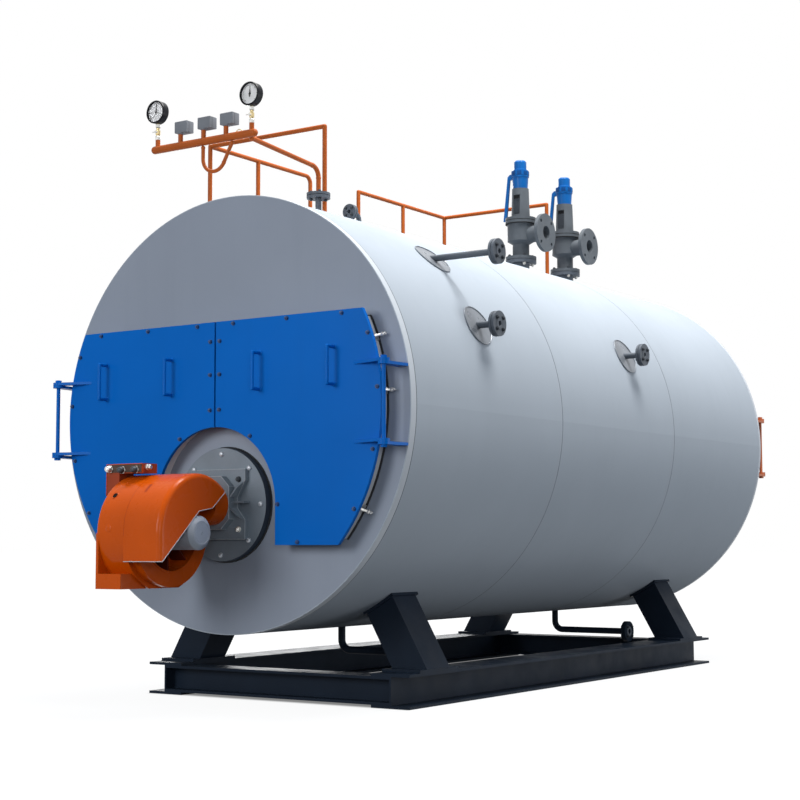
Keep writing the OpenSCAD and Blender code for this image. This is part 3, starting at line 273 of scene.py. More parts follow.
# %% Shader groups
def start_group(name, inputs, outputs):
    """An empty shader group; inputs and outputs are (name, kind, default) and (name, kind)."""
    group = bpy.data.node_groups.new(name, "ShaderNodeTree")
    for label, kind, value in inputs:
        socket = group.interface.new_socket(label, in_out="INPUT", socket_type=kind)
        socket.default_value = value
    for label, kind in outputs:
        group.interface.new_socket(label, in_out="OUTPUT", socket_type=kind)
    return group, group.nodes.new("NodeGroupInput"), group.nodes.new("NodeGroupOutput")


def noise(group, scale, detail, stretch=(1, 1, 1)):
    """Noise in object space, stretched along the axes."""
    place = group.nodes.new("ShaderNodeTexCoord")
    turn = group.nodes.new("ShaderNodeMapping")
    turn.inputs["Scale"].default_value = stretch
    texture = group.nodes.new("ShaderNodeTexNoise")
    texture.inputs["Detail"].default_value = detail
    feed(group, scale, texture.inputs["Scale"])
    group.links.new(place.outputs["Object"], turn.inputs["Vector"])
    group.links.new(turn.outputs["Vector"], texture.inputs["Vector"])
    return texture.outputs["Fac"]


paint_skin, into, out = start_group(
    "paint_skin",
    [("Color", "NodeSocketColor", (0.5, 0.5, 0.5, 1)), ("Patches", "NodeSocketFloat", 0.05),
     ("Patch Scale", "NodeSocketFloat", 2.0), ("Roughness", "NodeSocketFloat", 0.4),
     ("Sheen Change", "NodeSocketFloat", 0.06), ("Peel Scale", "NodeSocketFloat", 260.0)],
    [("Color", "NodeSocketColor"), ("Roughness", "NodeSocketFloat"), ("Height", "NodeSocketFloat")])
patch = noise(paint_skin, into.outputs["Patch Scale"], 4)
lighter = sums(paint_skin, "ADD", 1.0, into.outputs["Patches"])
darker = sums(paint_skin, "SUBTRACT", 1.0, into.outputs["Patches"])
tone = paint_skin.nodes.new("ShaderNodeHueSaturation")
paint_skin.links.new(spread(paint_skin, patch, 0.3, 0.7, darker, lighter), tone.inputs["Value"])
paint_skin.links.new(into.outputs["Color"], tone.inputs["Color"])
paint_skin.links.new(tone.outputs["Color"], out.inputs["Color"])
gloss = noise(paint_skin, 9.0, 5)
rough_low = sums(paint_skin, "SUBTRACT", into.outputs["Roughness"], into.outputs["Sheen Change"])
rough_high = sums(paint_skin, "ADD", into.outputs["Roughness"], into.outputs["Sheen Change"])
paint_skin.links.new(spread(paint_skin, gloss, 0.3, 0.7, rough_low, rough_high), out.inputs["Roughness"])
paint_skin.links.new(noise(paint_skin, into.outputs["Peel Scale"], 2), out.inputs["Height"])

level_dust, into, out = start_group(
    "level_dust", [("Amount", "NodeSocketFloat", 0.3)], [("Mask", "NodeSocketFloat")])
face = level_dust.nodes.new("ShaderNodeNewGeometry")
parts = level_dust.nodes.new("ShaderNodeSeparateXYZ")
level_dust.links.new(face.outputs["Normal"], parts.inputs[0])
lying = spread(level_dust, parts.outputs["Z"], 0.35, 1.0)
speck = spread(level_dust, noise(level_dust, 14.0, 8), 0.35, 0.75)
level_dust.links.new(
    sums(level_dust, "MULTIPLY", sums(level_dust, "MULTIPLY", lying, speck), into.outputs["Amount"]),
    out.inputs["Mask"])

wash_runs, into, out = start_group(
    "wash_runs", [("Amount", "NodeSocketFloat", 0.2)], [("Mask", "NodeSocketFloat")])
run = spread(wash_runs, noise(wash_runs, 3.0, 6, (3.5, 3.5, 0.25)), 0.5, 0.8)
wash_runs.links.new(sums(wash_runs, "MULTIPLY", run, into.outputs["Amount"]), out.inputs["Mask"])

cast_skin, into, out = start_group(
    "cast_skin", [("Grit", "NodeSocketFloat", 420.0)], [("Height", "NodeSocketFloat"), ("Pits", "NodeSocketFloat")])
grit = noise(cast_skin, into.outputs["Grit"], 6)
swell = noise(cast_skin, 40.0, 3)
cast_skin.links.new(sums(cast_skin, "ADD", grit, sums(cast_skin, "MULTIPLY", swell, 1.6)), out.inputs["Height"])
cast_skin.links.new(spread(cast_skin, grit, 0.35, 0.6, 0.72, 1.0), out.inputs["Pits"])
print("shader groups:", [g.name for g in bpy.data.node_groups])

# %% [markdown]
# One recipe makes all the paints: the paint group for tone, gloss and orange peel, dust on top, runs down
# the sides, and a Principled shader that stays in the material itself. Only the numbers differ between
# the silver cladding, the blue doors and the orange enamel of the burner.

# %% Materials
def use_group(tree, group, **values):
    """Places a shader group in a material with its own values."""
    node = tree.nodes.new("ShaderNodeGroup")
    node.node_tree = group
    for name, value in values.items():
        node.inputs[name.replace("_", " ")].default_value = value
    return node


def start_material(name, metallic=0.0, coat=0.0, coat_rough=0.1, shine=0.3):
    """A new material with its shader's own constant numbers set."""
    material = bpy.data.materials.new(name)
    material.use_nodes = True
    shader = material.node_tree.nodes["Principled BSDF"]
    shader.inputs["Metallic"].default_value = metallic
    shader.inputs["Specular IOR Level"].default_value = shine
    shader.inputs["Coat Weight"].default_value = coat
    shader.inputs["Coat Roughness"].default_value = coat_rough
    return material, material.node_tree, shader


def add_bump(tree, shader, height, strength, depth):
    """Feeds a height to the shader's normal."""
    bump = tree.nodes.new("ShaderNodeBump")
    bump.inputs["Strength"].default_value = strength
    bump.inputs["Distance"].default_value = depth
    tree.links.new(height, bump.inputs["Height"])
    tree.links.new(bump.outputs["Normal"], shader.inputs["Normal"])


def paint(name, colour, rough, patches, patch_scale, dust, shine, metallic=0.0, coat=0.0, peel=260.0,
          bump=0.08, runs=0.0, dust_colour=(0.62, 0.61, 0.58, 1)):
    """A sprayed paint."""
    coat_rough, peel_depth = 0.12, 0.0006
    material, tree, shader = start_material(name, metallic, coat, coat_rough, shine)
    skin = use_group(tree, paint_skin, Color=(*colour, 1), Patches=patches, Patch_Scale=patch_scale,
                     Roughness=rough, Sheen_Change=0.16 * rough, Peel_Scale=peel)
    dusty = use_group(tree, level_dust, Amount=dust)
    colour_out = mix_colour(tree, dusty.outputs["Mask"], skin.outputs["Color"], dust_colour)
    if runs:
        washed = use_group(tree, wash_runs, Amount=runs)
        shade = tuple(0.62 * c for c in colour) + (1,)
        colour_out = mix_colour(tree, washed.outputs["Mask"], colour_out, shade)
    tree.links.new(colour_out, shader.inputs["Base Color"])
    tree.links.new(skin.outputs["Roughness"], shader.inputs["Roughness"])
    add_bump(tree, shader, skin.outputs["Height"], bump, peel_depth)
    return material


def casting(name, colour, rough, grit, bump, metallic=0.0):
    """Paint over a sand-cast surface, or bare cast metal."""
    grit_depth = 0.0012
    material, tree, shader = start_material(name, metallic, shine=0.2)
    skin = use_group(tree, paint_skin, Color=(*colour, 1), Patches=0.10, Patch_Scale=7.0,
                     Roughness=rough, Sheen_Change=0.12, Peel_Scale=300.0)
    rock = use_group(tree, cast_skin, Grit=grit)
    shade = tuple(0.55 * c for c in colour) + (1,)
    tree.links.new(mix_colour(tree, rock.outputs["Pits"], shade, skin.outputs["Color"]), shader.inputs["Base Color"])
    tree.links.new(skin.outputs["Roughness"], shader.inputs["Roughness"])
    add_bump(tree, shader, rock.outputs["Height"], bump, grit_depth)
    return material


# Paints: colour, roughness, strength and scale of the patches, dust, shine.
silver = paint("silver_cladding", (0.350, 0.394, 0.448), 0.36, 0.03, 1.3, 0.05, 0.0, metallic=0.05, peel=90.0,
               bump=0.05, runs=0.05)
# Paler silver for the end rings, and for the painted highlight along the hood's edge.
silver_trim_and_highlight = paint("silver_trim_and_highlight", (0.46, 0.50, 0.55), 0.33, 0.03, 2.0, 0.05, 0.1)
plate_grey = paint("end_plate_grey", (0.240, 0.272, 0.330), 0.5, 0.05, 1.1, 0.05, 0.15, bump=0.07, runs=0.10)
frame_grey = paint("frame_grey", (0.60, 0.61, 0.63), 0.5, 0.08, 5.0, 0.15, 0.3)
door_blue = paint("door_blue", (0.0005, 0.114, 0.460), 0.34, 0.05, 1.7, 0.02, 0.06, peel=180.0, bump=0.10,
                  runs=0.08)
stud_blue = paint("stud_blue", (0.012, 0.048, 0.150), 0.30, 0.15, 40.0, 0.0, 0.3, coat=0.5)
hinge_brown = paint("hinge_brown", (0.40, 0.105, 0.035), 0.5, 0.15, 9.0, 0.15, 0.3)
burner_orange = paint("burner_orange", (0.49, 0.069, 0.001), 0.28, 0.05, 4.0, 0.005, 0.08, coat=0.08, peel=240.0,
                      bump=0.06)
# Darker orange for the joint line round the housing, and painted shade in the slot.
orange_deep = paint("orange_deep", (0.30, 0.035, 0.003), 0.35, 0.08, 12.0, 0.0, 0.1)
inlet_red = paint("inlet_red", (0.10, 0.012, 0.004), 0.5, 0.15, 9.0, 0.0, 0.1)
box_brown = paint("box_brown", (0.26, 0.040, 0.012), 0.34, 0.10, 9.0, 0.02, 0.15)
box_dark = paint("box_dark", (0.060, 0.038, 0.030), 0.4, 0.2, 20.0, 0.02, 0.15)
base_black = paint("base_black", (0.009, 0.015, 0.026), 0.46, 0.18, 3.0, 0.01, 0.06, bump=0.14, runs=0.10,
                   dust_colour=(0.20, 0.21, 0.22, 1))
pipe_orange = paint("pipe_orange", (0.37, 0.082, 0.013), 0.38, 0.08, 6.0, 0.02, 0.15)
valve_blue = paint("valve_blue", (0.004, 0.105, 0.36), 0.34, 0.06, 9.0, 0.02, 0.12, coat=0.05)
collar_blue = paint("collar_blue", (0.002, 0.050, 0.19), 0.38, 0.08, 12.0, 0.0, 0.15)
case_black = paint("case_black", (0.004, 0.005, 0.008), 0.30, 0.1, 12.0, 0.0, 0.1, coat=0.12)
switch_grey = paint("switch_grey", (0.165, 0.178, 0.200), 0.5, 0.08, 14.0, 0.03, 0.15, bump=0.15)
switch_dark = paint("switch_dark", (0.030, 0.035, 0.042), 0.6, 0.15, 30.0, 0.15, 0.3)
dial_white = paint("dial_white", (0.56, 0.57, 0.59), 0.5, 0.02, 2.0, 0.0, 0.1)
# Black for the print on the gauges, and painted shade in the sight hole.
print_and_shade_black = paint("print_and_shade_black", (0.004, 0.004, 0.005), 0.55, 0.1, 2.0, 0.0, 0.05)
seam_dark = paint("seam_dark", (0.13, 0.145, 0.16), 0.6, 0.2, 20.0, 0.15, 0.3)
# Pale grey of the painted highlights on the casting's edges.
cast_edge_highlight = paint("cast_edge_highlight", (0.34, 0.38, 0.42), 0.4, 0.15, 30.0, 0.0, 0.3)
# Dark blue-grey of the painted shade on the burner flange's rim.
rim_shade_grey = paint("rim_shade_grey", (0.030, 0.042, 0.062), 0.4, 0.12, 8.0, 0.0, 0.15)
bolt_pale = paint("bolt_pale", (0.42, 0.45, 0.49), 0.35, 0.12, 40.0, 0.15, 0.3, metallic=0.3)
collar_metal = paint("collar_metal", (0.19, 0.21, 0.24), 0.30, 0.12, 12.0, 0.03, 0.3, metallic=0.3)
zinc = paint("zinc_plate", (0.60, 0.60, 0.58), 0.32, 0.18, 60.0, 0.05, 0.3, metallic=0.9)
brass = paint("brass_stem", (0.62, 0.50, 0.27), 0.30, 0.15, 60.0, 0.0, 0.3, metallic=0.9)
# Black for gaskets, rope and beads, and for painted shade: the sheets in the valve windows and the ring round the
# burner flange.
gasket_and_shade = paint("gasket_and_shade_black", (0.010, 0.011, 0.013), 0.8, 0.2, 30.0, 0.15, 0.3)

# Castings: colour, roughness, scale of the grit, strength of the relief.
cast_grey = casting("cast_grey", (0.180, 0.215, 0.250), 0.5, 420.0, 0.25)
motor_grey = casting("motor_grey", (0.310, 0.345, 0.400), 0.42, 600.0, 0.15)
nozzle_grey = casting("nozzle_grey", (0.085, 0.100, 0.122), 0.5, 420.0, 0.25)
valve_grey = casting("valve_grey", (0.090, 0.104, 0.120), 0.52, 520.0, 0.4)
bolt_dark = casting("bolt_dark", (0.045, 0.052, 0.062), 0.42, 900.0, 0.2, metallic=0.5)
boiler_steel = casting("boiler_steel", (0.085, 0.082, 0.080), 0.6, 420.0, 0.35, metallic=0.5)
rope_grey = casting("door_rope", (0.40, 0.38, 0.34), 0.9, 700.0, 0.8)
lining = casting("door_lining", (0.42, 0.38, 0.33), 0.95, 160.0, 0.7)
print("materials:", len(bpy.data.materials))

# %% [markdown]
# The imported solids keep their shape. Each one only gets its material, and smooth shading with sharp
# edges kept where faces meet at more than thirty degrees, as a turned or rolled piece shows.

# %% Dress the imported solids
finish_of = {
    silver: ["casing_front", "casing_middle", "casing_rear"],
    plate_grey: ["front_plate", "rear_plate"],
    frame_grey: ["front_frame", "rear_frame"],
    boiler_steel: ["drum", "front_tube_plate", "rear_tube_plate"],
    door_blue: ["left_door", "left_door_fittings", "left_hinge", "right_door", "right_door_fittings",
                "right_hinge", "rear_door"],
    hinge_brown: ["rear_door_fittings", "rear_hinge"],
    nozzle_grey: ["flue_outlet", "side_nozzles", "top_nozzles"],
    cast_grey: ["burner_flange", "burner_casting"],
    motor_grey: ["burner_motor"],
    burner_orange: ["burner_housing", "burner_hood"],
    inlet_red: ["burner_vanes"],
    box_brown: ["burner_box"],
    base_black: ["base_beams", "cross_beams", "legs", "drain_pipes"],
    collar_metal: ["nozzle_collars"],
    pipe_orange: ["instrument_header", "header_pipe", "siphon", "front_guard_rail", "rear_guard_rail"],
    case_black: ["pressure_gauges"],
    switch_grey: ["pressure_switches"],
    valve_grey: ["valve_bodies", "valve_bonnets"],
    valve_blue: ["valve_caps"],
}
for material, names in finish_of.items():
    for name in names:
        mesh = nodes[name].data
        mesh.materials.clear()
        mesh.materials.append(material)
        mesh.shade_smooth()
        mesh.set_sharp_from_angle(angle=math.radians(30))
print("dressed:", sum(len(v) for v in finish_of.values()), "of", len(nodes))

# %% [markdown]
# Most small fittings are turned or bent, so two helpers cover them: one turns a profile round an axis,
# the other sweeps a circle along a path. A third makes a block with softened edges, a fourth a prism.
# Many like pieces go into one mesh, which keeps the scene light and easy to read.

# %% Mesh helpers
def bridge(bm, rings):
    """Faces between each ring of vertices and the next; a ring may be a single point."""
    for low, high in zip(rings, rings[1:]):
        count = max(len(low), len(high))
        for k in range(count):
            n = (k + 1) % count
            around = [low[k % len(low)], low[n % len(low)], high[n % len(high)], high[k % len(high)]]
            around = list(dict.fromkeys(around))
            if len(around) > 2:
                bm.faces.new(around)


def circle(sides, start=0.0):
    """Evenly spaced angles round a circle."""
    return [2 * math.pi * (k + start) / sides for k in range(sides)]


def turned(bm, profile, place, along, sides=20):
    """Turns (radius, height) pairs in mm round an axis from a place; six sides make a nut."""
    turn = Vector(along).to_track_quat("Z", "Y")
    bridge(bm, [[bm.verts.new(place + turn @ Vector((radius * MM * math.cos(a), radius * MM * math.sin(a),
                                                     height * MM)))
                 for a in circle(sides)[:sides if radius > 0.01 else 1]] for radius, height in profile])


def disc(radius, low, high):
    """The profile of a plain disc."""
    return washer(0, radius, low, high)


def washer(inner, outer, low, high):
    """The profile of a flat ring."""
    return [(inner, low), (outer, low), (outer, high), (inner, high)]


def ring_path(place, along, radius, count, start=0.0):
    """Points of a circle of a radius in mm round a place."""
    turn = Vector(along).to_track_quat("Z", "Y")
    return [place + turn @ Vector((math.cos(a), math.sin(a), 0)) * radius * MM for a in circle(count, start)]


def swept(bm, path, radius, sides=12, closed=False):
    """Sweeps a circle along a path of points; the radius in mm is one number or a list, one for each point."""
    count = len(path)
    rings = []
    side = None
    for k, point in enumerate(path):
        before = path[(k - 1) % count] if closed or k else path[k]
        after = path[(k + 1) % count] if closed or k < count - 1 else path[k]
        ahead = (after - before).normalized()
        if side is None:
            side = ahead.orthogonal().normalized()
        side = (side - ahead * side.dot(ahead)).normalized()
        other = ahead.cross(side)
        size = (radius[k] if isinstance(radius, list) else radius) * MM
        rings.append([bm.verts.new(point + (side * math.cos(a) + other * math.sin(a)) * size)
                      for a in circle(sides)])
    if closed:
        bridge(bm, rings + rings[:1])
    else:
        bridge(bm, rings)
        bm.faces.new(list(reversed(rings[0])))
        bm.faces.new(rings[-1])


def block(bm, place, size, soft=2.0, turn=None):
    """A block of a size in mm round a place, with its edges softened."""
    made = bmesh.ops.create_cube(bm, size=1.0)
    corners = made["verts"]
    for v in corners:
        v.co = Vector((v.co.x * size[0], v.co.y * size[1], v.co.z * size[2])) * MM
    if soft:
        edges = list({e for v in corners for e in v.link_edges})
        made = bmesh.ops.bevel(bm, geom=edges, offset=soft * MM, segments=2, profile=0.7, affect="EDGES")
        corners = made["verts"] + [v for v in corners if v.is_valid]
    move = Matrix.Translation(place) @ (turn.to_4x4() if turn else Matrix.Identity(4))
    bmesh.ops.transform(bm, matrix=move, verts=list(set(corners)))

def prism(bm, low_outline, high_outline):
    """The body between two like outlines of points."""
    low = [bm.verts.new(p) for p in low_outline]
    high = [bm.verts.new(p) for p in high_outline]
    bm.faces.new(low)
    bm.faces.new(list(reversed(high)))
    for k in range(len(low)):
        n = (k + 1) % len(low)
        bm.faces.new([low[k], high[k], high[n], low[n]])


def finish_piece(name, bm, material, body="boiler", sharp=35):
    """Turns a bmesh into a piece that rides on a body."""
    bmesh.ops.recalc_face_normals(bm, faces=bm.faces)
    mesh = bpy.data.meshes.new(name)
    bm.to_mesh(mesh)
    bm.free()
    mesh.materials.append(material)
    mesh.shade_smooth()
    mesh.set_sharp_from_angle(angle=math.radians(sharp))
    piece = bpy.data.objects.new(name, mesh)
    scene.collection.objects.link(piece)
    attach(piece, body)
    print(name, len(mesh.polygons), "faces")
    return piece


def nut_and_stud(bm, place, along, size=8.0, stud=0.9):
    """Washer, nut and stud end; size is the stud's radius in mm."""
    turned(bm, disc(size * 2.0, -0.4, size * 0.3), place, along)
    turned(bm, [(0, size * 0.3), (size * 1.45, size * 0.3), (size * 1.73, size * 0.5), (size * 1.73, size * 1.7),
                (size * 1.45, size * 1.9), (0, size * 1.9)], place, along, 6)
    top = size * (1.9 + stud)
    turned(bm, [(size, size * 1.8), (size, top - size * 0.2), (size * 0.8, top), (0, top)], place, along, 12)


print("mesh helpers ready")

# %% [markdown]
# The cladding is rolled in three lengths. Where two lengths meet, a narrow strip covers the joint,
# and a flat ring finishes each end. They are thin bands that follow the shell.

# %% Cladding seams and end rings
def shell_band(name, material, runs, out):
    """Thin bands round the shell, one for each (from, to) pair, standing out by some mm with chamfered edges."""
    bm = bmesh.new()
    for d0, d1 in runs:
        rows = [(shell_r + 0.2, d0), (shell_r + out, d0 + out), (shell_r + out, d1 - out), (shell_r + 0.2, d1)]
        bridge(bm, [[bm.verts.new(at(r * math.sin(a), d, r * math.cos(a))) for a in circle(192)] for r, d in rows])
    finish_piece(name, bm, material)


seams = [c.d for c in corners("casing_middle")]
shell_band("seam_lines", seam_dark, [(d - 2.5, d + 2.5) for d in seams], 0.6)
shell_band("front_ring_line", seam_dark, [(46, 51)], 0.7)
shell_band("front_ring", silver_trim_and_highlight, [(1, 45)], 1.2)
shell_band("rear_ring", silver_trim_and_highlight, [(shell_len - 26, shell_len - 1)], 1.2)
print("seams at", [round(d) for d in seams])

# %% [markdown]
# The doors are held shut by studs with nuts all round their edges. One list gives the places on the right
# leaf, and its mirror image gives the left leaf. The same stud is used at the rear door.

# %% Door studs
def stud_row(name, places, face, out, body):
    """Studs at (x, h) places on a door's face."""
    bm = bmesh.new()
    for x, h in places:
        nut_and_stud(bm, at(x, face, h), (0, out, 0), 5.5)
    finish_piece(name, bm, stud_blue, body)


LEAVES = ((-1, "left"), (1, "right"))
door_face = corners("right_door")[0].d
stud_places = [(116, 434), (448, 434), (776, 434), (30, 352), (30, 186), (30, 10), (226, -127), (398, -462),
               (518, -643), (926, 330), (980, 74), (954, -215), (848, -490)]
for side, name in LEAVES:
    stud_row(f"{name}_door_studs", [(side * x, h) for x, h in stud_places], door_face, -1, f"{name}_leaf")

rear_stud_r = 980
rear_places = [(x, 312) for x in (-780, -460, -150, 150, 460, 780)] + [(x, -640) for x in (-560, -190, 190, 560)]
rear_places += [(s * rear_stud_r * math.cos(math.radians(a)), rear_stud_r * math.sin(math.radians(a)))
                for s in (-1, 1) for a in (10, -5, -19, -33)]
stud_row("rear_door_studs", rear_places, corners("rear_door")[1].d, 1, "rear_leaf")

# %% [markdown]
# Each handle and lug is welded on. A weld is a low wavy bead, so it is swept along the joint with
# a radius that changes a little from point to point.

# %% Weld beads
random.seed(7)


def bead(bm, start, end, radius):
    """A weld bead along a straight run."""
    ripple = 6.0
    count = max(2, int((end - start).length / MM / ripple))
    path = [start.lerp(end, k / count) for k in range(count)] + [end]
    swept(bm, path, [radius * (0.85 + 0.3 * random.random()) for _ in path], 6)


handle_feet = [(x, h) for x in (732, 283) for h in (276, 98)]
lug_from, lug_to = 856, 976
for side, name in LEAVES:
    bm = bmesh.new()
    for x, h in handle_feet:
        turned(bm, [(13, -0.3), (13, 1.5), (9, 5), (0, 5)], at(side * x, door_face, h), (0, -1, 0), 20)
    for lug_h in (185, -185):
        for h in (lug_h + 0.5, lug_h + 14.5):
            bead(bm, at(side * lug_from, door_face, h), at(side * lug_to, door_face, h), 2.6)
    finish_piece(f"{name}_door_welds", bm, door_blue, f"{name}_leaf")

# %% [markdown]
# Between frame and door lies a rope seal, and a black bead runs where the frame meets the plate. Both follow
# the outline of the doors, drawn inwards by an inset, so one loop sweeps them along the round sides and the
# straight top.

# %% Rope seal and black bead
door_r, door_top, door_foot = 1000, 450, 657


def door_edge(inset, side, top=door_top, steps=40):
    """Points along the round edge of a door, drawn inwards by an inset, from its top to its bottom corner."""
    radius = door_r - inset
    high = math.asin((top - inset) / radius)
    low = -math.asin((door_foot - inset) / radius)
    return [(side * radius * math.cos(a), radius * math.sin(a))
            for a in (high + (low - high) * k / steps for k in range(steps + 1))]


for name, inset, half, d, radius in (("front_rope_seal", 38, 868, -77.5, 3.5), ("frame_paste_bead", 27, 876, -3, 6.0)):
    bm = bmesh.new()
    for side in (-1, 1):
        swept(bm, [at(x, d, h) for x, h in door_edge(inset, side)], radius, 8)
    swept(bm, [at(x, d, door_top - inset) for x in (-half, half)], radius, 8)
    finish_piece(name, bm, gasket_and_shade)

# %% [markdown]
# Swing clamps stand round the frame's outside. Each is a foot on the frame, a bent arm that grips the door's
# edge and a stud with its nut that points straight out from the boiler axis.

# %% Swing clamps
clamp_r = 970
bm = bmesh.new()
for side in (-1, 1):
    for h in (313, 61, -481):
        x = side * math.sqrt(clamp_r * clamp_r - h * h)
        out_way = Vector((x, 0, h)).normalized()
        turn = Matrix.Rotation(-math.atan2(h, x), 3, "Y")
        block(bm, at(x, -38, h) + out_way * 0.006, (14, 44, 34), 2.5, turn)
        arm = [at(x, d, h) + out_way * out for d, out in ((-58, 0.004), (-52, 0.022), (-22, 0.046), (-8, 0.052))]
        swept(bm, arm, [6.5, 7.0, 6.0, 5.0], 12)
        nut_place = at(x, -28, h) + out_way * 0.040
        turned(bm, [(0, -4), (10, -4), (11, -2), (11, 8), (10, 10), (0, 10)], nut_place, out_way, 6)
        turned(bm, [(0, 10), (5.5, 10), (5.5, 20), (4, 22), (0, 22)], nut_place, out_way, 12)
finish_piece("swing_clamps", bm, zinc)

# %% [markdown]
# Flanged joints show their bolts. A joint is described by its face, its axis, its bolt circle and its
# thickness, and the helper puts a bolt head on one side and a nut on the other.

# %% Flange bolts
def joint_bolts(bm, face, along, circle_r, count, size=5.5, thick=31, under=None):
    """Bolts round a flanged joint; the axis points out of the joint, the face is its outer one."""
    for spot in ring_path(face, along, circle_r, count, 0.5):
        nut_and_stud(bm, spot, along, size, 0.6)
        nut_and_stud(under or bm, spot - Vector(along) * thick * MM, -Vector(along), size, 0.6)


def raised_face(bore, rim):
    """The profile of the low ring that a flange seals on."""
    return [(bore, -0.4), (bore + 1.1, 1.6), (rim - 1.5, 1.6), (rim, -0.4)]


gasket_low, gasket_high = 14.2, 16.8
nozzle_reach = corners("side_nozzles")[1].x
nozzle_places = [(s, 765, h) for s in (-1, 1) for h in (821, 452)] + [(1, 2455, 452)]
bm = bmesh.new()
gaskets = bmesh.new()
raised = bmesh.new()
for side, d, h in nozzle_places:
    face = at(side * nozzle_reach, d, h)
    joint_bolts(bm, face, (side, 0, 0), 41, 4)
    turned(gaskets, washer(28, 60, gasket_low, gasket_high), face, (-side, 0, 0), 32)
    turned(raised, raised_face(13.1, 32.5), face, (side, 0, 0), 48)
steam_face = at(-360, 1544, shell_r + 228)
joint_bolts(bm, steam_face, (0, -1, 0), 30.5, 4, 4.5)
turned(gaskets, washer(18, 42, gasket_low, gasket_high), steam_face, (0, 1, 0), 32)
drain_low, drain_high = corners("drain_pipes")
drain_rim = 65
for d in (977, 3408):
    face = at(drain_high.x, d, drain_low.h + drain_rim)
    joint_bolts(bm, face, (1, 0, 0), 42.5, 4)
    turned(raised, raised_face(16.1, 33.5), face, (1, 0, 0), 48)
instrument_face = at(0, 756, shell_r + 153.5)
joint_bolts(bm, instrument_face, (0, 0, 1), 41, 4)
turned(gaskets, washer(28, 60, -gasket_high, -gasket_low), instrument_face, (0, 0, 1), 32)
finish_piece("flange_bolts", bm, bolt_dark)
finish_piece("flange_gaskets", gaskets, gasket_and_shade)
finish_piece("raised_faces", raised, nozzle_grey)

# %% [markdown]
# Round collars close the cladding where a side pipe leaves it. The real one is pressed from thin sheet with
# a rolled rim, so a ring with a round section follows the edge of each collar.

# %% Collar rims
def on_shell(side, h, d, radius, angle, lift):
    """A point of a circle that lies on the shell round a place of height h."""
    lean = math.asin(h / shell_r)
    along = radius * math.cos(angle)
    up = radius * math.sin(angle) / shell_r
    r = shell_r + lift
    return at(side * r * math.cos(lean + up), d + along, r * math.sin(lean + up))


collar_r, rim_lift, rim_r = 108, 4.5, 3.2
bm = bmesh.new()
for side, d, h in nozzle_places:
    swept(bm, [on_shell(side, h, d, collar_r, a, rim_lift) for a in circle(48)], rim_r, 8, True)
finish_piece("collar_rims", bm, collar_metal)

# %% [markdown]
# The burner hangs on a round flange with eight pale round-headed bolts, and four nuts hold its casting by the
# ears. A thin web stiffens each ear: a small prism that leans from the ear to the casting's side.

# %% Burner bolts and ear webs
burner_h = middle_of("burner_flange").h
flange_face = corners("burner_flange")[0].d
ear_d = flange_face - 27
bolt_circle = 250
bm = bmesh.new()
for a in circle(8):
    place = at(bolt_circle * math.sin(a), flange_face, burner_h + bolt_circle * math.cos(a))
    turned(bm, [(0, -0.4), (12.5, -0.4), (12.5, 4), (11.5, 8), (8, 11), (0, 12)], place, (0, -1, 0), 24)
finish_piece("burner_flange_bolts", bm, bolt_pale)
for name, h, metal in (("burner_upper_nuts", 122, bolt_dark), ("burner_lower_nuts", -123, zinc)):
    bm = bmesh.new()
    for x in (-133, 133):
        nut_and_stud(bm, at(x, ear_d - 0.2, burner_h + h), (0, -1, 0), 7.5, 0.8)
    finish_piece(name, bm, metal)
bm = bmesh.new()
for side in (-1, 1):
    for (x0, h0), (x1, h1) in (((120, 36), (160, 112)), ((120, -20), (160, -74))):
        inner, outer = at(side * x0, ear_d, burner_h + h0), at(side * x1, ear_d, burner_h + h1)
        crest = [inner.lerp(outer, 0.62) + Vector((0, -0.034, 0)), inner + Vector((-side * 0.012, -0.036, 0))]
        outline = [inner, outer] + crest
        half = (outer - inner).cross(Vector((0, 1, 0))).normalized() * 0.004
        prism(bm, [p - half for p in outline], [p + half for p in outline])
finish_piece("ear_webs", bm, cast_grey, sharp=20)

# %% [markdown]
# Pale lines along the edges of the casting are painted highlights: a fine pale strip is swept along each edge.
# The rim of the round flange has a painted shade darker than its face, and a black ring behind it is a painted shadow
# on the plate.

# %% Painted highlights on the casting's edges, painted shade on the flange rim
ear_outline = [(172, 172), (172, 120), (124, 34), (124, -17), (172, -77), (172, -172)]
body_outline = [(-53, 137), (53, 137), (103, 87), (103, -73), (53, -123), (-53, -123), (-103, -73), (-103, 87)]
body_d = flange_face - 68
bm = bmesh.new()
for side in (-1, 1):
    swept(bm, [at(side * x, ear_d, burner_h + h) for x, h in [(0, 172)] + ear_outline + [(0, -172)]], 1.5, 8)
swept(bm, [at(x, body_d, burner_h + h) for x, h in body_outline], 1.6, 8, True)
for x, h in body_outline:
    swept(bm, [at(x, body_d, burner_h + h), at(x, ear_d, burner_h + h)], 1.2, 8)
finish_piece("casting_edge_highlights", bm, cast_edge_highlight)
bm = bmesh.new()
# Painted shade: a dark band round the flange's rim.
turned(bm, [(280.1, 1), (281.0, 2), (281.0, 40), (280.1, 41)], at(0, flange_face, burner_h), (0, 1, 0), 128)
finish_piece("burner_flange_rim_shade", bm, rim_shade_grey)
bm = bmesh.new()
# Painted shadow: a black ring on the plate round the flange.
swept(bm, ring_path(at(0, -2.0, burner_h), (0, 1, 0), 284, 96), 5, 8, True)
finish_piece("burner_flange_shadow_ring", bm, gasket_and_shade)

# %% [markdown]
# The hood is a sheet pressing; a pale silver strip along its edge is a painted highlight. The edge runs over
# the rounded corner of the hood too, so its path is worked out from the same radius and swept as a fine strip.

# %% Painted highlight along the hood's edge
fan = middle_of("burner_motor")
hood_high = corners("burner_hood")[1]
drum_r = hood_high.h - fan.h
corner_r = 25


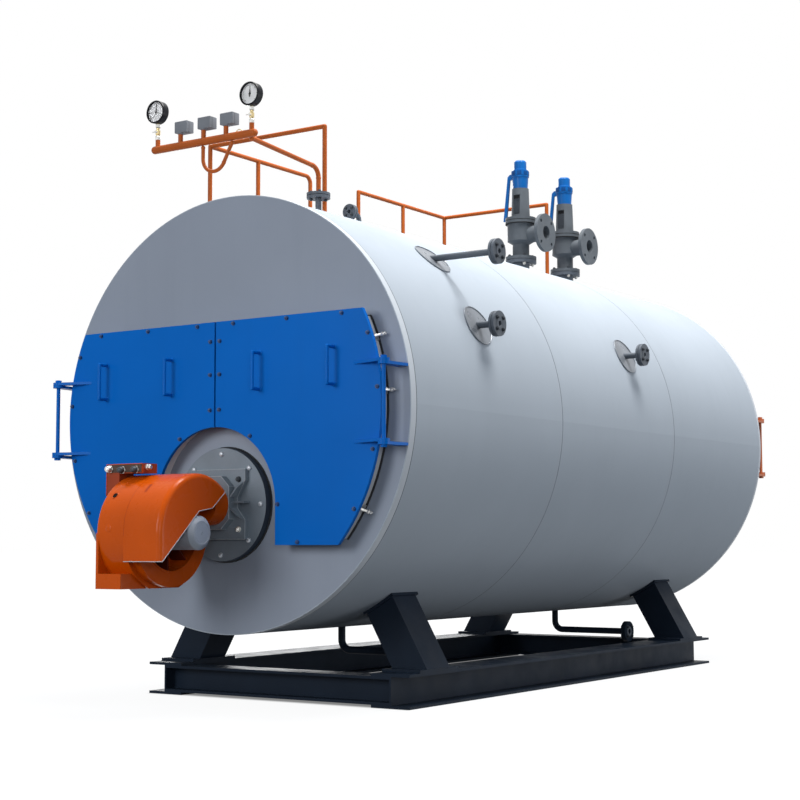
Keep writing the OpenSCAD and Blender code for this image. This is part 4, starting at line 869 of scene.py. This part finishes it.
def hood_point(d, h):
    """The point of the hood's right side at a place in front of and above the fan axis."""
    from_axis = math.hypot(d, h) if h > 0 else abs(d)
    past = max(0.0, from_axis - (drum_r - corner_r))
    across = math.sqrt(max(0.0, corner_r * corner_r - past * past))
    return at(hood_high.x - corner_r + across, fan.d + d, fan.h + h)


cut = [(-drum_r, -132), (-261, -132), (-10, 102), (87, 118), (191, 205.5)]
left_x, flat_x = -44, 60
path = [at(x, fan.d + cut[0][0], fan.h + cut[0][1]) for x in (left_x, flat_x)]
for (d0, h0), (d1, h1) in zip(cut, cut[1:]):
    path += [hood_point(d0 + (d1 - d0) * k / 12, h0 + (h1 - h0) * k / 12) for k in range(12)]
path.append(hood_point(*cut[-1]))
path += [at(x, fan.d + cut[-1][0], fan.h + cut[-1][1]) for x in (flat_x, left_x)]
bm = bmesh.new()
swept(bm, path, 1.8, 8)
finish_piece("hood_edge_highlight", bm, silver_trim_and_highlight)
print("hood drum radius", round(drum_r), "mm, cut edge of", len(path), "points")

# %% [markdown]
# The round of the housing has a sight hole with a rim, a long slot, a screw and a flat cover. The hole's black disc
# and the slot's dark strip are painted shade for their depth. Each lies on the drum, so one helper gives a point on
# the round and the way out of it, from an angle up from the front.

# %% Sight hole, slot, screw and cover
def on_housing(x, degrees, lift=0.0):
    """A point on the round of the housing and the way out of it; the angle counts up from the front."""
    a = math.radians(degrees)
    way = Vector((0, -math.cos(a), math.sin(a)))
    return at(x, fan.d, fan.h) + way * (drum_r + lift) * MM, way


rims = bmesh.new()
holes = bmesh.new()
place, way = on_housing(-159, 39)
turned(rims, [(13.5, -1), (13.5, 1.2), (16, 2.6), (18, 1.2), (18.5, -1)], place, way, 32)
# Painted shade: a black disc fills the sight hole.
turned(holes, [(0, 0.6), (13.6, 0.6), (13.6, -1)], place, way, 32)
place, way = on_housing(-144, 57)
turned(rims, [(6, -1), (6, 2), (4.5, 3.6), (0, 3.6)], place, way, 16)
place, way = on_housing(-141, 4.4)
turned(rims, [(0, 1.6), (16.5, 1.6), (18, 0.8), (18, -1)], place, way, 32)
finish_piece("housing_rims", rims, burner_orange)
finish_piece("sight_hole_shade", holes, print_and_shade_black)

# Painted shade: the slot is a flat strip of darker orange on the drum.
slot_shares = [0.6, 0.88] + [1.0] * 9 + [0.88, 0.6]
bm = bmesh.new()
rows = []
for k, share in enumerate(slot_shares):
    place, way = on_housing(20, 42.4 + k, 0.25)
    half = Vector((0.0086, 0, 0)) * share
    rows.append([bm.verts.new(place - half), bm.verts.new(place + half)])
for low, high in zip(rows, rows[1:]):
    bm.faces.new([low[0], low[1], high[1], high[0]])
finish_piece("hood_slot_shade", bm, orange_deep)

joint_foot = -130
bm = bmesh.new()
turned(bm, washer(drum_r - 1, drum_r + 0.3, 0, 2.2), at(-46, fan.d, fan.h), (1, 0, 0), 160)
below = [v for v in bm.verts if v.co.z < at(0, 0, fan.h + joint_foot).z]
bmesh.ops.delete(bm, geom=below, context="VERTS")
finish_piece("housing_joint_line", bm, orange_deep)

# %% [markdown]
# The motor ends in a bevelled cap with a flat face, a shallow ring round it and a centre mark, as a lathe
# leaves it. A second low band runs round the motor behind the cap.

# %% Motor end
cap_profile = [(0, 0.4), (3.5, 0.4), (4, 2.4), (7, 2.4), (7.6, 1.0), (47, 1.0), (48.5, -0.2), (50.5, -0.2),
               (52, 1.6), (58.5, 1.6), (60.5, 0.6), (61.2, -0.6)]
band_profile = [(80.0, -30), (80.9, -29), (80.9, -17.6), (80.0, -16.6)]
bm = bmesh.new()
for profile in (cap_profile, band_profile):
    turned(bm, profile, at(corners("burner_motor")[1].x, fan.d, fan.h), (1, 0, 0), 64)
finish_piece("motor_end", bm, motor_grey)
print("fan axis", round(fan.d), "mm before the plate,", round(fan.h), "mm from the boiler axis")

# %% [markdown]
# The terminal box carries three cable glands with shiny nuts. A gland is a six-sided nut below a domed cap.

# %% Cable glands and box lid
box_low, box_high = corners("burner_box")
bm = bmesh.new()
dark = bmesh.new()
for x, drop, mesh in ((-276, 24, bm), (-196, 30, dark), (-110, 30, dark)):
    place = at(x, box_low.d - 0.2, box_high.h - drop)
    turned(bm, [(0, -1), (19, -1), (20, 1), (20, 6), (18, 8), (0, 8)], place, (0, -1, 0), 6)
    turned(mesh, [(17, 7), (17, 14), (15, 24), (11, 31), (6, 34), (0, 34)], place, (0, -1, 0), 24)
place = at(box_high.x - 1, box_low.d + 30, box_high.h - 18)
turned(bm, [(0, -1), (15, -1), (15, 8), (12, 10), (12, 24), (9, 28), (0, 28)], place, (1, 0, 0), 20)
finish_piece("cable_glands", bm, zinc)
finish_piece("gland_caps", dark, bolt_dark)
bm = bmesh.new()
lid = at((box_low.x + box_high.x) / 2, box_low.d - 1.2, box_high.h - 23)
block(bm, lid, (box_high.x - box_low.x - 10, 2.4, 37), 1.0)
finish_piece("box_lid", bm, box_dark)
bm = bmesh.new()
rim_left, rim_right = box_low.x + 2, box_high.x - 2
rim = [(rim_left, -152), (rim_left, -2), (rim_right, -2), (rim_right, -44)]
swept(bm, [at(x, box_low.d - 1, box_high.h + h) for x, h in rim], 2.2, 8)
finish_piece("box_rim", bm, burner_orange)
print("box from", round(box_low.x), "to", round(box_high.x), "mm across")

# %% [markdown]
# A gauge reads by its dial. The face is a flat disc with a ring of tick marks, a needle with a hub, and a
# clear glass over it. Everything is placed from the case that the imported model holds.

# %% Gauge dials
gauge_r = 62
gauge_low, gauge_high = corners("pressure_gauges")
gauge_h = gauge_high.h - gauge_r
gauge_x = [gauge_low.x + gauge_r, gauge_high.x - gauge_r]
tick_r, ticks, sweep = 50, 30, 270
faces = bmesh.new()
marks = bmesh.new()
rims = bmesh.new()
for x in gauge_x:
    dial = at(x, gauge_low.d + 5.9, gauge_h)
    turned(faces, [(0, 0), (0.1, 0), (56.5, 0), (56.5, -0.6)], dial, (0, -1, 0), 64)
    for k in range(ticks + 1):
        a = math.radians(sweep * (k / ticks - 0.5))
        wide, long = (1.3, 5.5) if k % 5 else (2.6, 9)
        spot = dial + Vector((math.sin(a), 0, math.cos(a))) * (tick_r - long / 2) * MM + Vector((0, -0.0006, 0))
        block(marks, spot, (wide, 0.8, long), 0, Matrix.Rotation(a, 3, "Y"))
    needle = Matrix.Rotation(math.radians(3), 3, "Y")
    before = dial + Vector((0, -0.003, 0))
    block(marks, before + needle @ Vector((0, 0, 0.016)), (3.6, 1.0, 54), 0.3, needle)
    block(marks, before + needle @ Vector((0, 0, 0.001)), (7.5, 1.2, 34), 1.2, needle)
    turned(marks, [(0, 1), (6.5, 1), (6.5, 4), (4, 5), (0, 5)], dial, (0, -1, 0), 20)
    turned(rims, [(53.5, 0.5), (62.4, 0.5), (62.4, -4), (61, -6.2), (57, -6.6), (53.5, -4.5), (53.5, 0.5)],
           at(x, gauge_low.d, gauge_h), (0, 1, 0), 64)
finish_piece("gauge_faces", faces, dial_white)
finish_piece("gauge_marks", marks, print_and_shade_black)
finish_piece("gauge_rims", rims, case_black)

# %% [markdown]
# The glass is a clear shader with a trace of grease in its roughness. A thin disc of it closes each case.

# %% Gauge glasses
clear, tree, shader = start_material("gauge_glass")
shader.inputs["Base Color"].default_value = WHITE
shader.inputs["Transmission Weight"].default_value = 1.0
shader.inputs["IOR"].default_value = 1.45
grease = use_group(tree, paint_skin, Roughness=0.04, Sheen_Change=0.03)
tree.links.new(grease.outputs["Roughness"], shader.inputs["Roughness"])
bm = bmesh.new()
for x in gauge_x:
    turned(bm, disc(56.4, 0, 1.5), at(x, gauge_low.d + 0.5, gauge_h), (0, 1, 0), 64)
finish_piece("gauge_glasses", bm, clear)
print("gauges at", [round(x) for x in gauge_x], "mm across, face radius", gauge_r)

# %% [markdown]
# Gauge stems are turned brass with a plated union nut and a small cock with a flat lever.

# %% Gauge stems
pipe_r, stub, cock_up = 21, 32, 0.041
header_low = corners("instrument_header")[0]
header_d, header_h = header_low.d + pipe_r, header_low.h + pipe_r
stub_h = header_h + pipe_r + stub
length = gauge_h - gauge_r - stub_h
bm = bmesh.new()
nuts = bmesh.new()
for x in gauge_x:
    foot = at(x, header_d, stub_h)
    turned(bm, [(9, 20), (9, 26), (13, 30), (13, 52), (9, 56), (9, length)], foot, (0, 0, 1), 20)
    turned(nuts, [(0, 0), (15, 0), (15.5, 2), (15.5, 20), (14, 22), (0, 22)], foot, (0, 0, 1), 6)
    turned(nuts, [(0, length - 20), (13, length - 20), (14, length - 18), (14, length - 3), (0, length - 3)],
           foot, (0, 0, 1), 6)
    turned(nuts, [(0, 10), (6, 10), (6, 24), (4, 26), (0, 26)], foot + Vector((0, 0, cock_up)), (0, -1, 0), 14)
    swept(nuts, [foot + Vector((lever_x, -0.022, cock_up)) for lever_x in (-0.020, 0.014)], 3, 8)
finish_piece("gauge_stems", bm, brass)
finish_piece("gauge_stem_nuts", nuts, zinc)

# %% [markdown]
# Each pressure switch is a moulded box with a lid. Its edges are rounded, which a packed plain box can't show,
# so a rounded case stands for each of them. A dark joint runs round the case, with a gland under it.
# A small wire hoop stands on the header.

# %% Switch cases and hoop
case_w = 86
switch_low, switch_high = corners("pressure_switches")
switch = middle_of("pressure_switches")
size_h = switch_high.h - switch_low.h
size_d = switch_high.d - switch_low.d
cases = bmesh.new()
joints = bmesh.new()
for x in (switch_low.x + case_w / 2, -295, switch_high.x - case_w / 2):
    block(cases, at(x, switch.d + 10, switch.h), (case_w, size_d - 20, size_h), 6.0)
    block(cases, at(x, switch.d - 19.5, switch.h), (case_w, 19, size_h), 6.0)
    block(joints, at(x, switch.d - 9.5, switch.h), (case_w - 3, 5, size_h - 3), 1.0)
    turned(cases, [(0, -2), (17, -2), (17, 5), (13, 9), (0, 9)], at(x - 8, switch.d - 18, switch_low.h), (0, 0, -1), 20)
case_piece = finish_piece("switch_cases", cases, switch_grey, sharp=50)
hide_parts("pressure_switches")
finish_piece("switch_joints", joints, switch_dark)
bm = bmesh.new()
hoop_foot = at(-80, header_d + 22, header_h)
hoop = [hoop_foot + Vector((0.026 * math.cos(a), 0, 0.030 * math.sin(a) + 0.008)) for a in circle(32)[:17]]
leg = Vector((0, 0, 0.018))
swept(bm, [hoop[0] - leg] + hoop + [hoop[-1] - leg], 2.6, 10)
finish_piece("header_hoop", bm, brass)

# %% [markdown]
# A safety valve is a stack of castings. Bolts hold the bonnet to the body and the foot to its nozzle,
# a coarse guard closes the bonnet's window over a dark sheet of painted shade, and a bent lever hangs from the cap.
# The lever and its fork stay as packed; the small pieces are added round them.

# %% Safety valve details
foot_h = corners("valve_bodies")[0].h
bonnet_h = corners("valve_bonnets")[0].h
cap_h = corners("valve_caps")[1].h - 189
half, window_low, window_high, pitch = 23, 43, 146, 13
bolts = bmesh.new()
nuts = bmesh.new()
guard = bmesh.new()
rings = bmesh.new()
blue = bmesh.new()
ribs = bmesh.new()
for d in (2990, 3605):
    joint_bolts(bolts, at(0, d, foot_h + 22.5), (0, 0, 1), 78, 4, 6.5, thick=45, under=nuts)
    turned(rings, disc(94, 0, 3), at(0, d, foot_h - 1.5), (0, 0, 1), 48)
    for low in (-2, -24):
        turned(rings, washer(90, 101.7, low, low + 4), at(0, d, bonnet_h), (0, 0, 1), 64)
    for way in (-1, 1):
        # Painted shade: a thin dark sheet in each bonnet window stands for the shade inside.
        block(rings, at(0, d + way * 43, bonnet_h + 105), (47, 2, 129), 0)
        for k in range(-3, 10):
            start = window_low + pitch * k
            low, high = max(start, window_low), min(start + 2 * half, window_high)
            for lean in (-1, 1):
                if high > low + 2:
                    swept(guard, [at(lean * (h - start - half), d + way * (47 + lean), bonnet_h + h)
                                  for h in (low, high)], 1.9, 6)
    turned(blue, [(53.0, 74), (57.5, 78), (57.5, 84), (53.9, 86.5)], at(0, d, cap_h), (0, 0, 1), 48)
    turned(blue, [(41.2, 118.5), (46, 120), (46, 127), (41.2, 130)], at(0, d, cap_h), (0, 0, 1), 40)
    for a in circle(8, 0.5):
        spot = at(55.5 * math.cos(a), d + 55.5 * math.sin(a), cap_h + 102.5)
        block(ribs, spot, (5, 30, 27), 2.0, Matrix.Rotation(a, 3, "Z"))
for name, mesh, finish in (("valve_bolts", bolts, bolt_dark), ("valve_nuts", nuts, zinc),
                           ("valve_guards", guard, nozzle_grey), ("valve_gaskets", rings, gasket_and_shade),
                           ("valve_cap_beads", blue, valve_blue), ("valve_cap_ribs", ribs, collar_blue)):
    finish_piece(name, mesh, finish)

# %% [markdown]
# The posts of the guard rails and the legs are welded to what carries them. The beads are swept again,
# round each post and along each leg's pad.

# %% Post and leg welds
post_r, weld_lift = 15, 1.5
bm = bmesh.new()
for x, d in ((-880, 880), (-880, 1325), (-880, 1850), (-50, 880), (-880, 3440), (-880, 2908), (-880, 2378),
             (-50, 3440)):
    path = [at(px, pd, math.sqrt(shell_r * shell_r - px * px) + weld_lift)
            for px, pd in ((x + post_r * math.cos(a), d + post_r * math.sin(a)) for a in circle(20))]
    swept(bm, path, [3.0 + 0.8 * random.random() for _ in path], 6, True)
finish_piece("post_welds", bm, pipe_orange)

leg_x, pad_half, leg_half = 729.5, 112, 175
pad_h = corners("legs")[0].h + 1
bm = bmesh.new()
for side in (-1, 1):
    for leg_d in (640, shell_len - 630):
        for d in (leg_d - leg_half, leg_d + leg_half):
            bead(bm, at(side * (leg_x - pad_half), d, pad_h), at(side * (leg_x + pad_half), d, pad_h), 4)
finish_piece("leg_welds", bm, base_black)

# %% [markdown]
# When a door is open its back shows: a block of refractory that enters the smokebox opening, and a rope seal
# round it that presses on the frame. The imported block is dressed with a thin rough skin, drawn as the outline
# of the leaf moved inwards.

# %% Door linings
def leaf_outline(side, inset):
    """Outline of a front leaf, drawn inwards by an inset, as (x, h) pairs."""
    inner, cut_r = 5 + inset, 382 + inset
    arc = [(cut_r * math.cos(a), burner_h + cut_r * math.sin(a)) for a in
           (math.acos(inner / cut_r) * k / 24 for k in range(25))]
    points = [(inner, door_top - inset)] + door_edge(inset, 1) + [(cut_r, inset - door_foot)] + arc
    return [(side * x, h) for x, h in points]


def rear_outline(inset):
    """Outline of the rear door, drawn inwards by an inset."""
    rear_top = 330
    return door_edge(inset, 1, rear_top) + door_edge(inset, -1, rear_top)[::-1]


def door_back(name, outline, face_d, inwards):
    """The lining and the rope on the back of a door; inwards is 1 where the boiler lies behind the door."""
    body = f"{name}_leaf"
    skin_from, skin_to, rope_d, rope_r = 79.8, 39.0, 77.5, 3.0
    bm = bmesh.new()
    depths = sorted(face_d - inwards * depth for depth in (skin_from, skin_to))
    prism(bm, *([at(x, d, h) for x, h in outline(91)] for d in depths))
    finish_piece(f"{name}_door_lining", bm, lining, body)
    bm = bmesh.new()
    swept(bm, [at(x, face_d - inwards * rope_d, h) for x, h in outline(62)], rope_r, 8, True)
    finish_piece(f"{name}_door_rope", bm, rope_grey, body)


for side, name in LEAVES:
    door_back(name, lambda inset: leaf_outline(side, inset), 0, 1)
door_back("rear", rear_outline, shell_len, -1)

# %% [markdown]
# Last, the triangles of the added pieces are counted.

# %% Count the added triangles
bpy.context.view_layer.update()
triangles = sum(len(p.vertices) - 2 for o in scene.objects if o.type == "MESH" and o.name not in nodes
                for p in o.data.polygons)
print("added triangles:", triangles)
